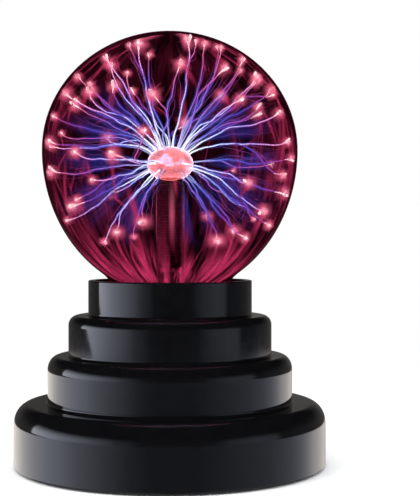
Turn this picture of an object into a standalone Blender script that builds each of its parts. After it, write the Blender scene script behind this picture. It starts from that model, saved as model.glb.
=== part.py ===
"""Plasma ball desk lamp: a glass globe on a stepped round base, with its batteries and driver inside.

Metres, +Z up. The origin is the centre of the plane that the four feet stand on, and +Y is the
back, where the switch and the power inlet are. Lengths below are millimetres times MM.
"""
import math

import bmesh
import bpy
from mathutils import Matrix, Vector

MM = 0.001
GAP = 0.3 * MM

# Housing: four tiers, each a wall with a rounded shoulder, and an open collar on top.
BASE_R = 49.0 * MM
TIER3_R = 38.5 * MM
TIER2_R = 32.0 * MM
COLLAR_R = 25.8 * MM
HOUSING_BOTTOM = 0.8 * MM
BASE_TOP = 19.7 * MM
TIER3_TOP = 34.4 * MM
TIER2_TOP = 47.0 * MM
COLLAR_TOP = 58.0 * MM
BASE_SHOULDER = (4.9 * MM, 6.2 * MM)
TIER3_SHOULDER = (3.2 * MM, 4.4 * MM)
TIER2_SHOULDER = (2.8 * MM, 3.0 * MM)
WALL = 2.0 * MM
FOOT_FILLET = 0.7 * MM
RIM_ROUND = 0.4 * MM
HOUSING_SEGMENTS = 40
ARC_STEPS = 4
LEDGE_BOTTOM = 44.9 * MM
LEDGE_TOP = 46.7 * MM
LEDGE_HOLE_R = 13.3 * MM

# Glass: an outer globe with a neck, and an inner tube with a bulb on top that holds the electrode.
GLOBE_R = 40.2 * MM
GLOBE_EQUATOR = 98.8 * MM
GLOBE_UP = 37.3 * MM
GLOBE_DOWN = 45.7 * MM
GLOBE_WALL = 1.1 * MM
NECK_R = 18.6 * MM
NECK_BOTTOM = 49.3 * MM
NECK_TOP = 55.6 * MM
NECK_JOIN_R = 21.6 * MM
GLOBE_SEGMENTS = 36
STEM_R = 4.25 * MM
STEM_WALL = 0.75 * MM
BULB_R = 7.3 * MM
BULB_HALF_HEIGHT = 5.55 * MM
BULB_CENTRE = 94.65 * MM
FLARE_BOTTOM = 49.7 * MM
FLARE_R = NECK_R - GLOBE_WALL - GAP
FLARE_TOP = 60.0 * MM
STEM_SEGMENTS = 20

# Seat of the globe in the collar.
SEAT_R = COLLAR_R - WALL - GAP
SEAT_BOTTOM = LEDGE_TOP + GAP
SEAT_TOP = NECK_BOTTOM - GAP
BEAD_HEIGHT = 3.2 * MM

# Electrode coil inside the stem.
COIL_R = 2.85 * MM
COIL_WIRE_R = 0.28 * MM
COIL_BOTTOM = 62.5 * MM
COIL_TOP = 88.2 * MM
COIL_TURNS = 14

# Wool in the bulb: how far it stays in from the bulb's outside, across and up.
WOOL_INSET = (STEM_WALL + 0.8 * MM, 1.5 * MM)

# Rubber plug in the stem's foot: its bore, radius, top and the wider foot.
PLUG_BORE_R = 1.3 * MM
PLUG_R = 2.9 * MM
PLUG_TOP = 60.5 * MM
PLUG_FOOT_R = 4.0 * MM
PLUG_FOOT = (2.4 * MM, 3.6 * MM)

# Exhaust tip under the flare: radius at its shoulder, the shoulder's and the point's height, and its place.
TIP_R = 1.3 * MM
TIP_END_R = 0.9 * MM
TIP_HEIGHTS = (0.4 * MM, -1.6 * MM, -3.0 * MM, -4.0 * MM)
TIP_X = -9.5 * MM

# Bottom cover with its battery well.
COVER_R = BASE_R - WALL - 0.5 * MM
COVER_BOTTOM = 1.2 * MM
COVER_TOP = 4.0 * MM
WELL_HALF_X = 22.2 * MM
WELL_HALF_Y = 25.0 * MM
WELL_WALL = 1.5 * MM
WELL_TOP = 14.9 * MM
WELL_ROOF = 16.3 * MM
BOARD_POST_R = 2.6 * MM
BOARD_POST_TOP = 18.1 * MM

# Battery door: it slides back to free its tabs, and then lifts out.
DOOR_TRAVEL = 4.0 * MM
DOOR_HALF_X = WELL_HALF_X - GAP
DOOR_FRONT = -(WELL_HALF_Y - GAP)
DOOR_BACK = WELL_HALF_Y - GAP - DOOR_TRAVEL
DOOR_TOP = 2.9 * MM
TAB_Z = (2.2 * MM, 2.8 * MM)
FRONT_TAB_X = (9.0 * MM, 15.0 * MM)
FRONT_TAB_LENGTH = 3.0 * MM
SIDE_TAB_Y = (14.0 * MM, 17.6 * MM)
SIDE_TAB_LENGTH = 1.4 * MM

# Cells, four AAA side by side, each turned round from the one beside it.
CELL_COUNT = 4
CELL_R = 5.2 * MM
CELL_LENGTH = 43.5 * MM
CELL_NUB_R = 1.9 * MM
CELL_NUB_LENGTH = 0.8 * MM
CELL_PITCH = 10.8 * MM
CELL_Z = 9.5 * MM
CONTACT_THICKNESS = 0.4 * MM
CONTACT_Z = (5.0 * MM, 14.0 * MM)

# Screws and feet.
SCREW_CIRCLE_R = 40.0 * MM
SCREW_ANGLES = (45, 135, 225, 315)
SCREW_HEAD_R = 2.4 * MM
SCREW_HEAD_BOTTOM = 1.4 * MM
SCREW_HEAD_HEIGHT = 1.0 * MM
SCREW_SHANK_R = 1.2 * MM
POST_R = 3.2 * MM
POST_HOLE_R = SCREW_SHANK_R + GAP
POST_HOLE_TOP = 13.0 * MM
FOOT_CIRCLE_R = 38.5 * MM
FOOT_R = 5.0 * MM
FOOT_TOP = COVER_BOTTOM - GAP

# Circuit board and what stands on it.
BOARD_HALF_X = 24.0 * MM
BOARD_HALF_Y = 22.0 * MM
BOARD_BOTTOM = BOARD_POST_TOP + GAP
BOARD_TOP = BOARD_BOTTOM + 1.6 * MM
BOARD_SCREWS = ((-20.0 * MM, -18.0 * MM), (20.0 * MM, -18.0 * MM), (0.0 * MM, 18.5 * MM))
PART_BOTTOM = BOARD_TOP + GAP

# Transformer, across the board.
CORE_CENTRE = (-7.0 * MM, 1.0 * MM)
CORE_HALF_X = 12.0 * MM
CORE_HALF_Y = 3.5 * MM
CORE_LEG = 3.0 * MM
CORE_HEIGHT = 20.0 * MM
CORE_LEG_HALF_X = 3.0 * MM
WINDING_R = 8.6 * MM

# Heat sink: near corner and size in plan, height, then the slots between its fins.
SINK_CORNER = (9.0 * MM, 8.0 * MM)
SINK_SIZE = (14.0 * MM, 6.0 * MM, 11.0 * MM)
SINK_PLATE = 1.6 * MM
SINK_SLOTS = 3
SINK_SLOT_START = 2.0 * MM
SINK_SLOT_WIDTH = 2.4 * MM
SINK_SLOT_PITCH = 4.2 * MM

# Drive transistor: its body's corners and height above the board, then its legs.
TRANSISTOR_LOW = (11.0 * MM, 3.4 * MM, 3.0 * MM)
TRANSISTOR_HIGH = (21.0 * MM, 7.7 * MM, 10.0 * MM)
LEG_FIRST = (13.0 * MM, 5.0 * MM)
LEG_PITCH = 2.5 * MM
LEG_SIZE = (0.8 * MM, 0.6 * MM, 4.0 * MM)

# Capacitors: place in plan, radius, height.
CAPACITORS = (
    (14.0 * MM, -8.0 * MM, 4.0 * MM, 11.5 * MM),
    (5.0 * MM, -14.0 * MM, 3.15 * MM, 9.0 * MM),
    (-6.0 * MM, -15.0 * MM, 2.5 * MM, 7.0 * MM),
)
CAPACITOR_ROUND = 0.4 * MM

# Resistors: places in plan, and the radius at the end face, the end's bulge and the waist with their heights.
RESISTOR_X = -14.0 * MM
RESISTOR_Y = (11.5 * MM, 15.5 * MM)
RESISTOR_END = (0.9 * MM, 3.3 * MM)
RESISTOR_BULGE = (1.3 * MM, 2.6 * MM)
RESISTOR_WAIST = (1.1 * MM, 1.6 * MM)

# Switch at the back, and the inlet beside it.
SWITCH_Z = 9.2 * MM
SWITCH_TRAVEL = 4.0 * MM
SWITCH_STEM_HALF = (1.7 * MM, 1.4 * MM)
SWITCH_POCKET = (7.6 * MM, 4.0 * MM)
SWITCH_POCKET_FLOOR = BASE_R - 1.2 * MM
SWITCH_BODY = (6.4 * MM, 38.0 * MM, 45.9 * MM, 3.2 * MM)
INLET_ANGLE = -24.0
INLET_HALF = (4.6 * MM, 2.4 * MM)
INLET_SPAN = (39.5 * MM, 48.4 * MM)
INLET_SOCKET = (3.6 * MM, 1.5 * MM, 5.0 * MM)
INLET_TONGUE = (2.5 * MM, 0.4 * MM)

for leftover in list(bpy.data.objects):
    bpy.data.objects.remove(leftover, do_unlink=True)


# ---------------------------------------------------------------- materials
def material(name, colour, roughness, metallic=0.0, transmission=0.0):
    made = bpy.data.materials.new(name)
    made.use_nodes = True
    shader = made.node_tree.nodes["Principled BSDF"]
    shader.inputs["Base Color"].default_value = (*colour, 1.0)
    shader.inputs["Roughness"].default_value = roughness
    shader.inputs["Metallic"].default_value = metallic
    shader.inputs["Transmission Weight"].default_value = transmission
    return made


BLACK_GLOSS = material("black_gloss", (0.012, 0.012, 0.013), 0.14)
BLACK_MATTE = material("black_matte", (0.02, 0.02, 0.021), 0.5)
RUBBER = material("rubber", (0.03, 0.03, 0.03), 0.85)
GLOBE_GLASS = material("globe_glass", (0.3, 0.2, 0.4), 0.02, transmission=1.0)
ELECTRODE_GLASS = material("electrode_glass", (0.95, 0.7, 0.7), 0.03, transmission=1.0)
WOOL = material("wool", (0.95, 0.35, 0.28), 0.6)
STEEL = material("steel", (0.55, 0.55, 0.57), 0.3, metallic=1.0)
ALUMINIUM = material("aluminium", (0.7, 0.7, 0.72), 0.35, metallic=1.0)
SILICONE = material("silicone", (0.75, 0.75, 0.73), 0.5)
FOAM = material("foam", (0.05, 0.05, 0.05), 0.9)
BOARD_GREEN = material("board", (0.03, 0.2, 0.07), 0.4)
FERRITE = material("ferrite", (0.05, 0.05, 0.055), 0.6)
TAPE = material("winding_tape", (0.75, 0.55, 0.08), 0.4)
CELL_SLEEVE = material("cell_sleeve", (0.1, 0.13, 0.35), 0.3)
CAPACITOR_SLEEVE = material("capacitor_sleeve", (0.02, 0.03, 0.08), 0.3)
RESISTOR_BODY = material("resistor_body", (0.55, 0.4, 0.25), 0.5)
LEAD_RED = material("lead_red", (0.5, 0.02, 0.02), 0.4)
LEAD_BLACK = material("lead_black", (0.02, 0.02, 0.02), 0.4)
LEAD_WHITE = material("lead_white", (0.8, 0.8, 0.78), 0.4)


# ---------------------------------------------------------------- shape tools
def object_from(bm, name, finish, smooth_angle=35.0):
    """Closes off a bmesh as a named object with one material, its faces out, and shades it smooth."""
    bmesh.ops.recalc_face_normals(bm, faces=bm.faces)
    mesh = bpy.data.meshes.new(name)
    bm.to_mesh(mesh)
    bm.free()
    mesh.materials.append(finish)
    mesh.shade_smooth()
    mesh.set_sharp_from_angle(angle=math.radians(smooth_angle))
    made = bpy.data.objects.new(name, mesh)
    bpy.context.scene.collection.objects.link(made)
    return made


def turned(name, finish, outline, segments, closed=True):
    """Spins an outline of (radius, height) points about Z. An open outline starts and ends on the axis."""
    bm = bmesh.new()
    points = [bm.verts.new((radius, 0.0, height)) for radius, height in outline]
    pairs = list(zip(points, points[1:]))
    if closed:
        pairs.append((points[-1], points[0]))
    edges = [bm.edges.new(pair) for pair in pairs]
    bmesh.ops.spin(
        bm, geom=points + edges, cent=(0, 0, 0), axis=(0, 0, 1),
        angle=math.tau, steps=segments, use_merge=True,
    )
    bmesh.ops.remove_doubles(bm, verts=bm.verts, dist=1e-6)
    return object_from(bm, name, finish)


def block(name, finish, low, high):
    """A box between two corners."""
    bm = bmesh.new()
    bmesh.ops.create_cube(bm, size=1.0)
    low = Vector(low)
    high = Vector(high)
    bmesh.ops.scale(bm, vec=high - low, verts=bm.verts)
    bmesh.ops.translate(bm, vec=(high + low) / 2, verts=bm.verts)
    return object_from(bm, name, finish)


def disc(name, finish, radius, bottom, top, centre=(0.0, 0.0), segments=16):
    """An upright cylinder."""
    outline = [(0, top), (radius, top), (radius, bottom), (0, bottom)]
    made = turned(name, finish, outline, segments, False)
    made.location = (centre[0], centre[1], 0)
    return made


def arc(centre, radii, start, end, steps):
    """Points on an ellipse's arc, in degrees, both ends included."""
    points = []
    for step in range(steps + 1):
        angle = math.radians(start + (end - start) * step / steps)
        across = centre[0] + radii[0] * math.cos(angle)
        points.append((across, centre[1] + radii[1] * math.sin(angle)))
    return points


def helix(name, finish, radius, wire_radius, bottom, top, turns, steps_per_turn=8, sides=4):
    """A coiled wire about Z with flat ends."""
    bm = bmesh.new()
    count = int(turns * steps_per_turn)
    rings = []
    for step in range(count + 1):
        angle = math.tau * step / steps_per_turn
        out = Vector((math.cos(angle), math.sin(angle), 0))
        middle = out * radius + Vector((0, 0, bottom + (top - bottom) * step / count))
        ring = []
        for side in range(sides):
            turn = math.tau * side / sides
            offset = (out * math.cos(turn) + Vector((0, 0, math.sin(turn)))) * wire_radius
            ring.append(bm.verts.new(middle + offset))
        rings.append(ring)
    for ring, following in zip(rings, rings[1:]):
        for side in range(sides):
            after = (side + 1) % sides
            bm.faces.new((ring[side], ring[after], following[after], following[side]))
    bm.faces.new(rings[0])
    bm.faces.new(rings[-1])
    return object_from(bm, name, finish)


def lead(name, finish, route, radius):
    """An insulated wire along a smooth curve through the route's points."""
    ends = [route[0] * 2 - route[1], *route, route[-1] * 2 - route[-2]]
    points = []
    for before, here, there, after in zip(ends, ends[1:], ends[2:], ends[3:]):
        for step in range(4):
            t = step / 4
            square = (2 * before - 5 * here + 4 * there - after) * t**2
            cube = (3 * here - before - 3 * there + after) * t**3
            points.append(0.5 * (2 * here + (there - before) * t + square + cube))
    points.append(route[-1])
    curve = bpy.data.curves.new(name, "CURVE")
    curve.dimensions = "3D"
    curve.bevel_depth = radius
    curve.bevel_resolution = 1
    curve.use_fill_caps = True
    spline = curve.splines.new("POLY")
    spline.points.add(len(points) - 1)
    for point, place in zip(spline.points, points):
        point.co = (*place, 1.0)
    curve.materials.append(finish)
    made = bpy.data.objects.new(name, curve)
    bpy.context.scene.collection.objects.link(made)
    return made


def combine(target, other, operation):
    """Cuts or joins another object into the target, and hides the other as a helper."""
    modifier = target.modifiers.new(f"{operation.lower()}_{other.name}", "BOOLEAN")
    modifier.operation = operation
    modifier.solver = "EXACT"
    modifier.object = other
    other.hide_render = True
    other.display_type = "WIRE"


def turn_about_z(made, degrees):
    """Turns an object and its place about the lamp's axis."""
    made.matrix_world = Matrix.Rotation(math.radians(degrees), 4, "Z") @ made.matrix_world
    return made


def on_circle(radius, degrees):
    angle = math.radians(degrees)
    return (radius * math.cos(angle), radius * math.sin(angle))


# ---------------------------------------------------------------- housing
def tier(radius, shoulder, top, next_radius):
    """One tier's outer points: the wall's top, the rounded shoulder, and the fillet at the next wall."""
    across, down = shoulder
    points = arc((radius - across, top - down), (across, down), 0, 90, ARC_STEPS)
    points.append((next_radius + FOOT_FILLET, top))
    points.append((next_radius + FOOT_FILLET * 0.3, top + FOOT_FILLET * 0.3))
    points.append((next_radius, top + FOOT_FILLET))
    return points


def base_housing():
    outer = [(BASE_R, HOUSING_BOTTOM)]
    outer += tier(BASE_R, BASE_SHOULDER, BASE_TOP, TIER3_R)
    outer += tier(TIER3_R, TIER3_SHOULDER, TIER3_TOP, TIER2_R)
    outer += tier(TIER2_R, TIER2_SHOULDER, TIER2_TOP, COLLAR_R)
    outer += arc((COLLAR_R - RIM_ROUND, COLLAR_TOP - RIM_ROUND), (RIM_ROUND, RIM_ROUND), 0, 90, 2)
    collar_inner = COLLAR_R - WALL
    inner = [(collar_inner, COLLAR_TOP), (collar_inner, LEDGE_TOP), (LEDGE_HOLE_R, LEDGE_TOP)]
    inner += [(LEDGE_HOLE_R, LEDGE_BOTTOM), (TIER2_R - WALL - TIER2_SHOULDER[0], TIER2_TOP - WALL)]
    for radius, shoulder, top, below in (
        (TIER2_R, TIER2_SHOULDER, TIER2_TOP, TIER3_TOP),
        (TIER3_R, TIER3_SHOULDER, TIER3_TOP, BASE_TOP),
        (BASE_R, BASE_SHOULDER, BASE_TOP, None),
    ):
        inner_radius = radius - WALL
        if radius != TIER2_R:
            inner.append((inner_radius - shoulder[0], top - WALL))
        inner.append((inner_radius - shoulder[0] * 0.3, top - WALL - shoulder[1] * 0.3))
        inner.append((inner_radius, top - WALL - shoulder[1]))
        if below:
            inner.append((inner_radius, below - WALL))
    inner.append((BASE_R - WALL, HOUSING_BOTTOM))
    housing = turned("base_housing", BLACK_GLOSS, outer + inner, HOUSING_SEGMENTS)
    for number, angle in enumerate(SCREW_ANGLES, 1):
        place = on_circle(SCREW_CIRCLE_R, angle)
        top = BASE_TOP - WALL / 2
        post = disc(f"post_{number}", BLACK_GLOSS, POST_R, COVER_TOP + GAP, top, place, 12)
        combine(housing, post, "UNION")
    for number, angle in enumerate(SCREW_ANGLES, 1):
        place = on_circle(SCREW_CIRCLE_R, angle)
        hole = disc(f"post_hole_{number}", BLACK_GLOSS, POST_HOLE_R, 0.0, POST_HOLE_TOP, place, 12)
        combine(housing, hole, "DIFFERENCE")
    half_x, half_z = SWITCH_POCKET
    pocket = block(
        "switch_pocket", BLACK_GLOSS,
        (-half_x, SWITCH_POCKET_FLOOR, SWITCH_Z - half_z), (half_x, BASE_R + WALL, SWITCH_Z + half_z),
    )
    combine(housing, pocket, "DIFFERENCE")
    window_x = SWITCH_STEM_HALF[0] + SWITCH_TRAVEL / 2 + GAP
    window_z = SWITCH_STEM_HALF[1] + GAP
    window = block(
        "switch_window", BLACK_GLOSS,
        (-window_x, BASE_R - 3 * WALL, SWITCH_Z - window_z),
        (window_x, BASE_R + WALL, SWITCH_Z + window_z),
    )
    combine(housing, window, "DIFFERENCE")
    opening = block(
        "inlet_window", BLACK_GLOSS,
        (-INLET_HALF[0] - GAP, BASE_R - 3 * WALL, SWITCH_Z - INLET_HALF[1] - GAP),
        (INLET_HALF[0] + GAP, BASE_R + WALL, SWITCH_Z + INLET_HALF[1] + GAP),
    )
    turn_about_z(opening, INLET_ANGLE)
    combine(housing, opening, "DIFFERENCE")


# ---------------------------------------------------------------- glass and electrode
def globe_outline(inset):
    """The globe's outline from the top down to the neck's end, moved in by the inset."""
    join = math.acos((NECK_JOIN_R) / GLOBE_R)
    points = arc((0, GLOBE_EQUATOR), (GLOBE_R - inset, GLOBE_UP - inset), 90, 0, 9)
    points[0] = (0.0, GLOBE_EQUATOR + GLOBE_UP - inset)
    points += arc((0, GLOBE_EQUATOR), (GLOBE_R - inset, GLOBE_DOWN - inset), 0, -math.degrees(join), 8)[1:]
    last = points[-1]
    neck = NECK_R - inset
    points.append((neck + (last[0] - neck) * 0.35, NECK_TOP + (last[1] - NECK_TOP) * 0.45))
    points.append((neck, NECK_TOP - inset * 0.5))
    points.append((neck, NECK_BOTTOM))
    return points


def globe():
    outline = globe_outline(0.0) + list(reversed(globe_outline(GLOBE_WALL)))
    turned("globe", GLOBE_GLASS, outline, GLOBE_SEGMENTS, False)


def stem_outline(inset):
    """The inner tube's outline from the bulb's top down to the edge of its flared foot."""
    stem = STEM_R - inset
    bulb = (BULB_R - inset, BULB_HALF_HEIGHT - inset)
    meet = math.degrees(math.acos(stem / bulb[0]))
    points = arc((0, BULB_CENTRE), bulb, 90, -meet, 9)
    points[0] = (0.0, BULB_CENTRE + bulb[1])
    flare = FLARE_TOP - FLARE_BOTTOM
    points += [(stem, points[-1][1] - 1.2 * MM), (stem, FLARE_TOP)]
    points.append((stem + 0.9 * MM, FLARE_TOP - flare * 0.45))
    points.append((stem + 3.4 * MM, FLARE_BOTTOM + 2.9 * MM - inset))
    points.append((FLARE_R - 5.0 * MM, FLARE_BOTTOM + 1.7 * MM - inset))
    points.append((FLARE_R, FLARE_BOTTOM + (0.8 * MM if inset == 0.0 else 0.0)))
    return points


def electrode():
    outline = stem_outline(0.0) + list(reversed(stem_outline(STEM_WALL)))
    turned("electrode_tube", ELECTRODE_GLASS, outline, STEM_SEGMENTS, False)
    bm = bmesh.new()
    bmesh.ops.create_icosphere(bm, subdivisions=3, radius=1.0)
    across, up = BULB_R - WOOL_INSET[0], BULB_HALF_HEIGHT - WOOL_INSET[1]
    half = Vector((across, across, up))
    for vert in bm.verts:
        x, y, z = vert.co * 5.0
        crumple = 1.0 + 0.05 * math.sin(x + 2 * y) * math.cos(2 * z - x) - 0.04 * math.sin(3 * y + z)
        vert.co = Vector((vert.co.x * half.x, vert.co.y * half.y, vert.co.z * half.z)) * crumple
        vert.co.z += BULB_CENTRE
    object_from(bm, "electrode_wool", WOOL)
    helix("electrode_coil", STEEL, COIL_R, COIL_WIRE_R, COIL_BOTTOM, COIL_TOP, COIL_TURNS)
    low = FLARE_BOTTOM
    plug = [(PLUG_BORE_R, PLUG_TOP), (PLUG_R, PLUG_TOP), (PLUG_R, low + PLUG_FOOT[1])]
    plug += [(PLUG_FOOT_R, low + PLUG_FOOT[0]), (PLUG_FOOT_R, low), (PLUG_BORE_R, low)]
    turned("electrode_plug", RUBBER, plug, 16)
    top, shoulder, narrow, point = TIP_HEIGHTS
    tip = [(0, top), (TIP_R, top), (TIP_R, shoulder), (TIP_END_R, narrow), (0, point)]
    nib = turned("exhaust_tip", ELECTRODE_GLASS, tip, 10, False)
    nib.location = (TIP_X, 0, low)


def globe_seat():
    ring = [(LEDGE_HOLE_R + GAP, SEAT_TOP), (SEAT_R, SEAT_TOP), (SEAT_R, SEAT_BOTTOM)]
    ring += [(LEDGE_HOLE_R + GAP, SEAT_BOTTOM)]
    turned("globe_seat_ring", FOAM, ring, HOUSING_SEGMENTS)
    inner = NECK_R + GAP
    middle = (inner + SEAT_R) / 2
    top = NECK_BOTTOM + BEAD_HEIGHT
    bead = [(inner, top), (middle, top - 0.9 * MM), (SEAT_R, top)]
    bead += [(SEAT_R, NECK_BOTTOM), (inner, NECK_BOTTOM)]
    turned("globe_adhesive", SILICONE, bead, HOUSING_SEGMENTS)


# ---------------------------------------------------------------- bottom cover, door and feet
def bottom_cover():
    cover = disc("bottom_cover", BLACK_MATTE, COVER_R, COVER_BOTTOM, COVER_TOP, (0, 0), HOUSING_SEGMENTS)
    outer_x = WELL_HALF_X + WELL_WALL
    outer_y = WELL_HALF_Y + WELL_WALL
    low = COVER_TOP - 1.0 * MM
    shell = block("well_shell", BLACK_MATTE, (-outer_x, -outer_y, low), (outer_x, outer_y, WELL_ROOF))
    combine(cover, shell, "UNION")
    for number, place in enumerate(BOARD_SCREWS, 1):
        bottom = WELL_ROOF - 1.0 * MM
        post = disc(f"board_post_{number}", BLACK_MATTE, BOARD_POST_R, bottom, BOARD_POST_TOP, place, 12)
        combine(cover, post, "UNION")
    for name, back, low, high in (
        ("well_hollow", WELL_HALF_Y, COVER_TOP, WELL_TOP),
        ("well_mouth", DOOR_BACK + GAP, 0.0, COVER_TOP + MM),
        ("door_travel", WELL_HALF_Y, 0.0, DOOR_TOP + GAP),
    ):
        hollow = block(name, BLACK_MATTE, (-WELL_HALF_X, -WELL_HALF_Y, low), (WELL_HALF_X, back, high))
        combine(cover, hollow, "DIFFERENCE")
    for number, place in enumerate(BOARD_SCREWS, 1):
        hole = disc(f"board_hole_{number}", BLACK_MATTE, POST_HOLE_R, 10.0 * MM, 20.0 * MM, place, 12)
        combine(cover, hole, "DIFFERENCE")
    slot = (TAB_Z[0] - GAP, TAB_Z[1] + GAP)
    for side in (-1, 1):
        name = "left" if side < 0 else "right"
        across = sorted((side * (FRONT_TAB_X[0] - GAP), side * (FRONT_TAB_X[1] + GAP)))
        front = block(
            f"front_slot_{name}", BLACK_MATTE,
            (across[0], DOOR_FRONT - FRONT_TAB_LENGTH - GAP, slot[0]), (across[1], 0, slot[1]),
        )
        combine(cover, front, "DIFFERENCE")
        across = sorted((side * (WELL_HALF_X - 2 * MM), side * (DOOR_HALF_X + SIDE_TAB_LENGTH + GAP)))
        track = block(
            f"side_slot_{name}", BLACK_MATTE,
            (across[0], SIDE_TAB_Y[0] - GAP, slot[0]),
            (across[1], SIDE_TAB_Y[1] + DOOR_TRAVEL + GAP, slot[1]),
        )
        combine(cover, track, "DIFFERENCE")
        notch = block(
            f"side_notch_{name}", BLACK_MATTE,
            (across[0], SIDE_TAB_Y[1] + GAP, 0),
            (across[1], SIDE_TAB_Y[1] + DOOR_TRAVEL + GAP, slot[1] - 0.1 * MM),
        )
        combine(cover, notch, "DIFFERENCE")
    for number, angle in enumerate(SCREW_ANGLES, 1):
        place = on_circle(SCREW_CIRCLE_R, angle)
        head_top = SCREW_HEAD_BOTTOM + SCREW_HEAD_HEIGHT + GAP
        sink = disc(f"screw_sink_{number}", BLACK_MATTE, SCREW_HEAD_R + GAP, 0, head_top, place, 12)
        through = disc(f"screw_hole_{number}", BLACK_MATTE, POST_HOLE_R, 0, 2 * COVER_TOP, place, 12)
        combine(cover, sink, "DIFFERENCE")
        combine(cover, through, "DIFFERENCE")


def battery_door():
    door = block(
        "battery_door", BLACK_MATTE,
        (-DOOR_HALF_X, DOOR_FRONT, COVER_BOTTOM), (DOOR_HALF_X, DOOR_BACK, DOOR_TOP),
    )
    overlap = 1.0 * MM
    for side in (-1, 1):
        name = "left" if side < 0 else "right"
        across = sorted((side * FRONT_TAB_X[0], side * FRONT_TAB_X[1]))
        front = block(
            f"front_tab_{name}", BLACK_MATTE,
            (across[0], DOOR_FRONT - FRONT_TAB_LENGTH, TAB_Z[0]), (across[1], DOOR_FRONT + overlap, TAB_Z[1]),
        )
        combine(door, front, "UNION")
        across = sorted((side * (DOOR_HALF_X - overlap), side * (DOOR_HALF_X + SIDE_TAB_LENGTH)))
        tab = block(
            f"side_tab_{name}", BLACK_MATTE,
            (across[0], SIDE_TAB_Y[0], TAB_Z[0]), (across[1], SIDE_TAB_Y[1], TAB_Z[1]),
        )
        combine(door, tab, "UNION")
    for number in range(3):
        start = DOOR_BACK - (4.0 + 2.4 * number) * MM
        groove = block(
            f"grip_groove_{number + 1}", BLACK_MATTE,
            (-7.0 * MM, start, 0), (7.0 * MM, start + 1.0 * MM, COVER_BOTTOM + 0.5 * MM),
        )
        combine(door, groove, "DIFFERENCE")


def feet():
    for number, angle in enumerate((0, 90, 180, 270), 1):
        chamfer = 0.25 * MM
        outline = [(0, FOOT_TOP), (FOOT_R, FOOT_TOP), (FOOT_R, chamfer), (FOOT_R - chamfer, 0), (0, 0)]
        foot = turned(f"foot_{number}", RUBBER, outline, 16, False)
        x, y = on_circle(FOOT_CIRCLE_R, angle)
        foot.location = (x, y, 0)


def cross_head_screw(name, head_radius, shank_radius, head_height, length, segments=12):
    """A screw with its head's face at z = 0 and its shank running up, with a cross cut into the head."""
    outline = [(0, head_height + length), (shank_radius * 0.4, head_height + length)]
    outline += [(shank_radius, head_height + length - shank_radius), (shank_radius, head_height)]
    outline += [(head_radius, head_height), (head_radius, head_height * 0.35), (head_radius * 0.8, 0), (0, 0)]
    screw = turned(name, STEEL, outline, segments, False)
    reach = head_radius * 0.6
    half = head_radius * 0.14
    depth = head_height * 0.6
    for number, (x, y) in enumerate(((reach, half), (half, reach)), 1):
        cut = block(f"{name}_cross_{number}", STEEL, (-x, -y, -head_height), (x, y, depth))
        cut.parent = screw
        combine(screw, cut, "DIFFERENCE")
    return screw


def screws():
    for number, angle in enumerate(SCREW_ANGLES, 1):
        name = f"cover_screw_{number}"
        screw = cross_head_screw(name, SCREW_HEAD_R, SCREW_SHANK_R, SCREW_HEAD_HEIGHT, 9.0 * MM)
        x, y = on_circle(SCREW_CIRCLE_R, angle)
        screw.location = (x, y, SCREW_HEAD_BOTTOM)
    for number, (x, y) in enumerate(BOARD_SCREWS, 1):
        screw = cross_head_screw(f"board_screw_{number}", 2.2 * MM, SCREW_SHANK_R, 0.9 * MM, 4.5 * MM)
        screw.rotation_euler = (math.pi, 0, 0)
        screw.location = (x, y, BOARD_TOP + GAP + 0.9 * MM)


# ---------------------------------------------------------------- cells and contacts
def cells():
    """Four cells along Y with a spring at each flat end and a plate at both ends."""
    total = CELL_LENGTH + CELL_NUB_LENGTH
    plate_inner = WELL_HALF_Y - GAP - CONTACT_THICKNESS
    for number in range(CELL_COUNT):
        x = (number - (CELL_COUNT - 1) / 2) * CELL_PITCH
        facing = 1 if number % 2 == 0 else -1
        lift = 0.5 * MM
        outline = [(0, total), (CELL_NUB_R, total), (CELL_NUB_R, CELL_LENGTH), (CELL_R - lift, CELL_LENGTH)]
        outline += [(CELL_R, CELL_LENGTH - lift), (CELL_R, lift), (CELL_R - lift, 0), (0, 0)]
        cell = turned(f"cell_{number + 1}", CELL_SLEEVE, outline, 16, False)
        cell.rotation_euler = (-facing * math.pi / 2, 0, 0)
        nub_end = plate_inner - GAP
        cell.location = (x, facing * (nub_end - total), CELL_Z)
        flat_end = total - nub_end
        length = plate_inner - flat_end - 2 * GAP
        wire = 0.3 * MM
        coil = helix(f"contact_spring_{number + 1}", STEEL, 3.0 * MM, wire, wire, length - wire, 3)
        coil.rotation_euler = (facing * math.pi / 2, 0, 0)
        coil.location = (x, -facing * (flat_end + GAP), CELL_Z)


def contact_plates():
    """Plates that link the cells in a row: three at the back of the well, two at the front."""
    near = WELL_HALF_Y - GAP - CONTACT_THICKNESS
    far = WELL_HALF_Y - GAP
    edge = 0.8 * MM
    spans = ((0, 0, 1), (1, 2, 1), (3, 3, 1), (0, 1, -1), (2, 3, -1))
    for number, (first, last, side) in enumerate(spans, 1):
        left = (first - CELL_COUNT / 2) * CELL_PITCH + edge
        right = (last + 1 - CELL_COUNT / 2) * CELL_PITCH - edge
        y = sorted((side * near, side * far))
        block(f"contact_plate_{number}", STEEL, (left, y[0], CONTACT_Z[0]), (right, y[1], CONTACT_Z[1]))


# ---------------------------------------------------------------- board and its parts
def circuit_board():
    board = block(
        "circuit_board", BOARD_GREEN,
        (-BOARD_HALF_X, -BOARD_HALF_Y, BOARD_BOTTOM), (BOARD_HALF_X, BOARD_HALF_Y, BOARD_TOP),
    )
    for number, place in enumerate(BOARD_SCREWS, 1):
        low, high = BOARD_BOTTOM - MM, BOARD_TOP + MM
        hole = disc(f"screw_way_{number}", BOARD_GREEN, POST_HOLE_R, low, high, place, 12)
        combine(board, hole, "DIFFERENCE")


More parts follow.
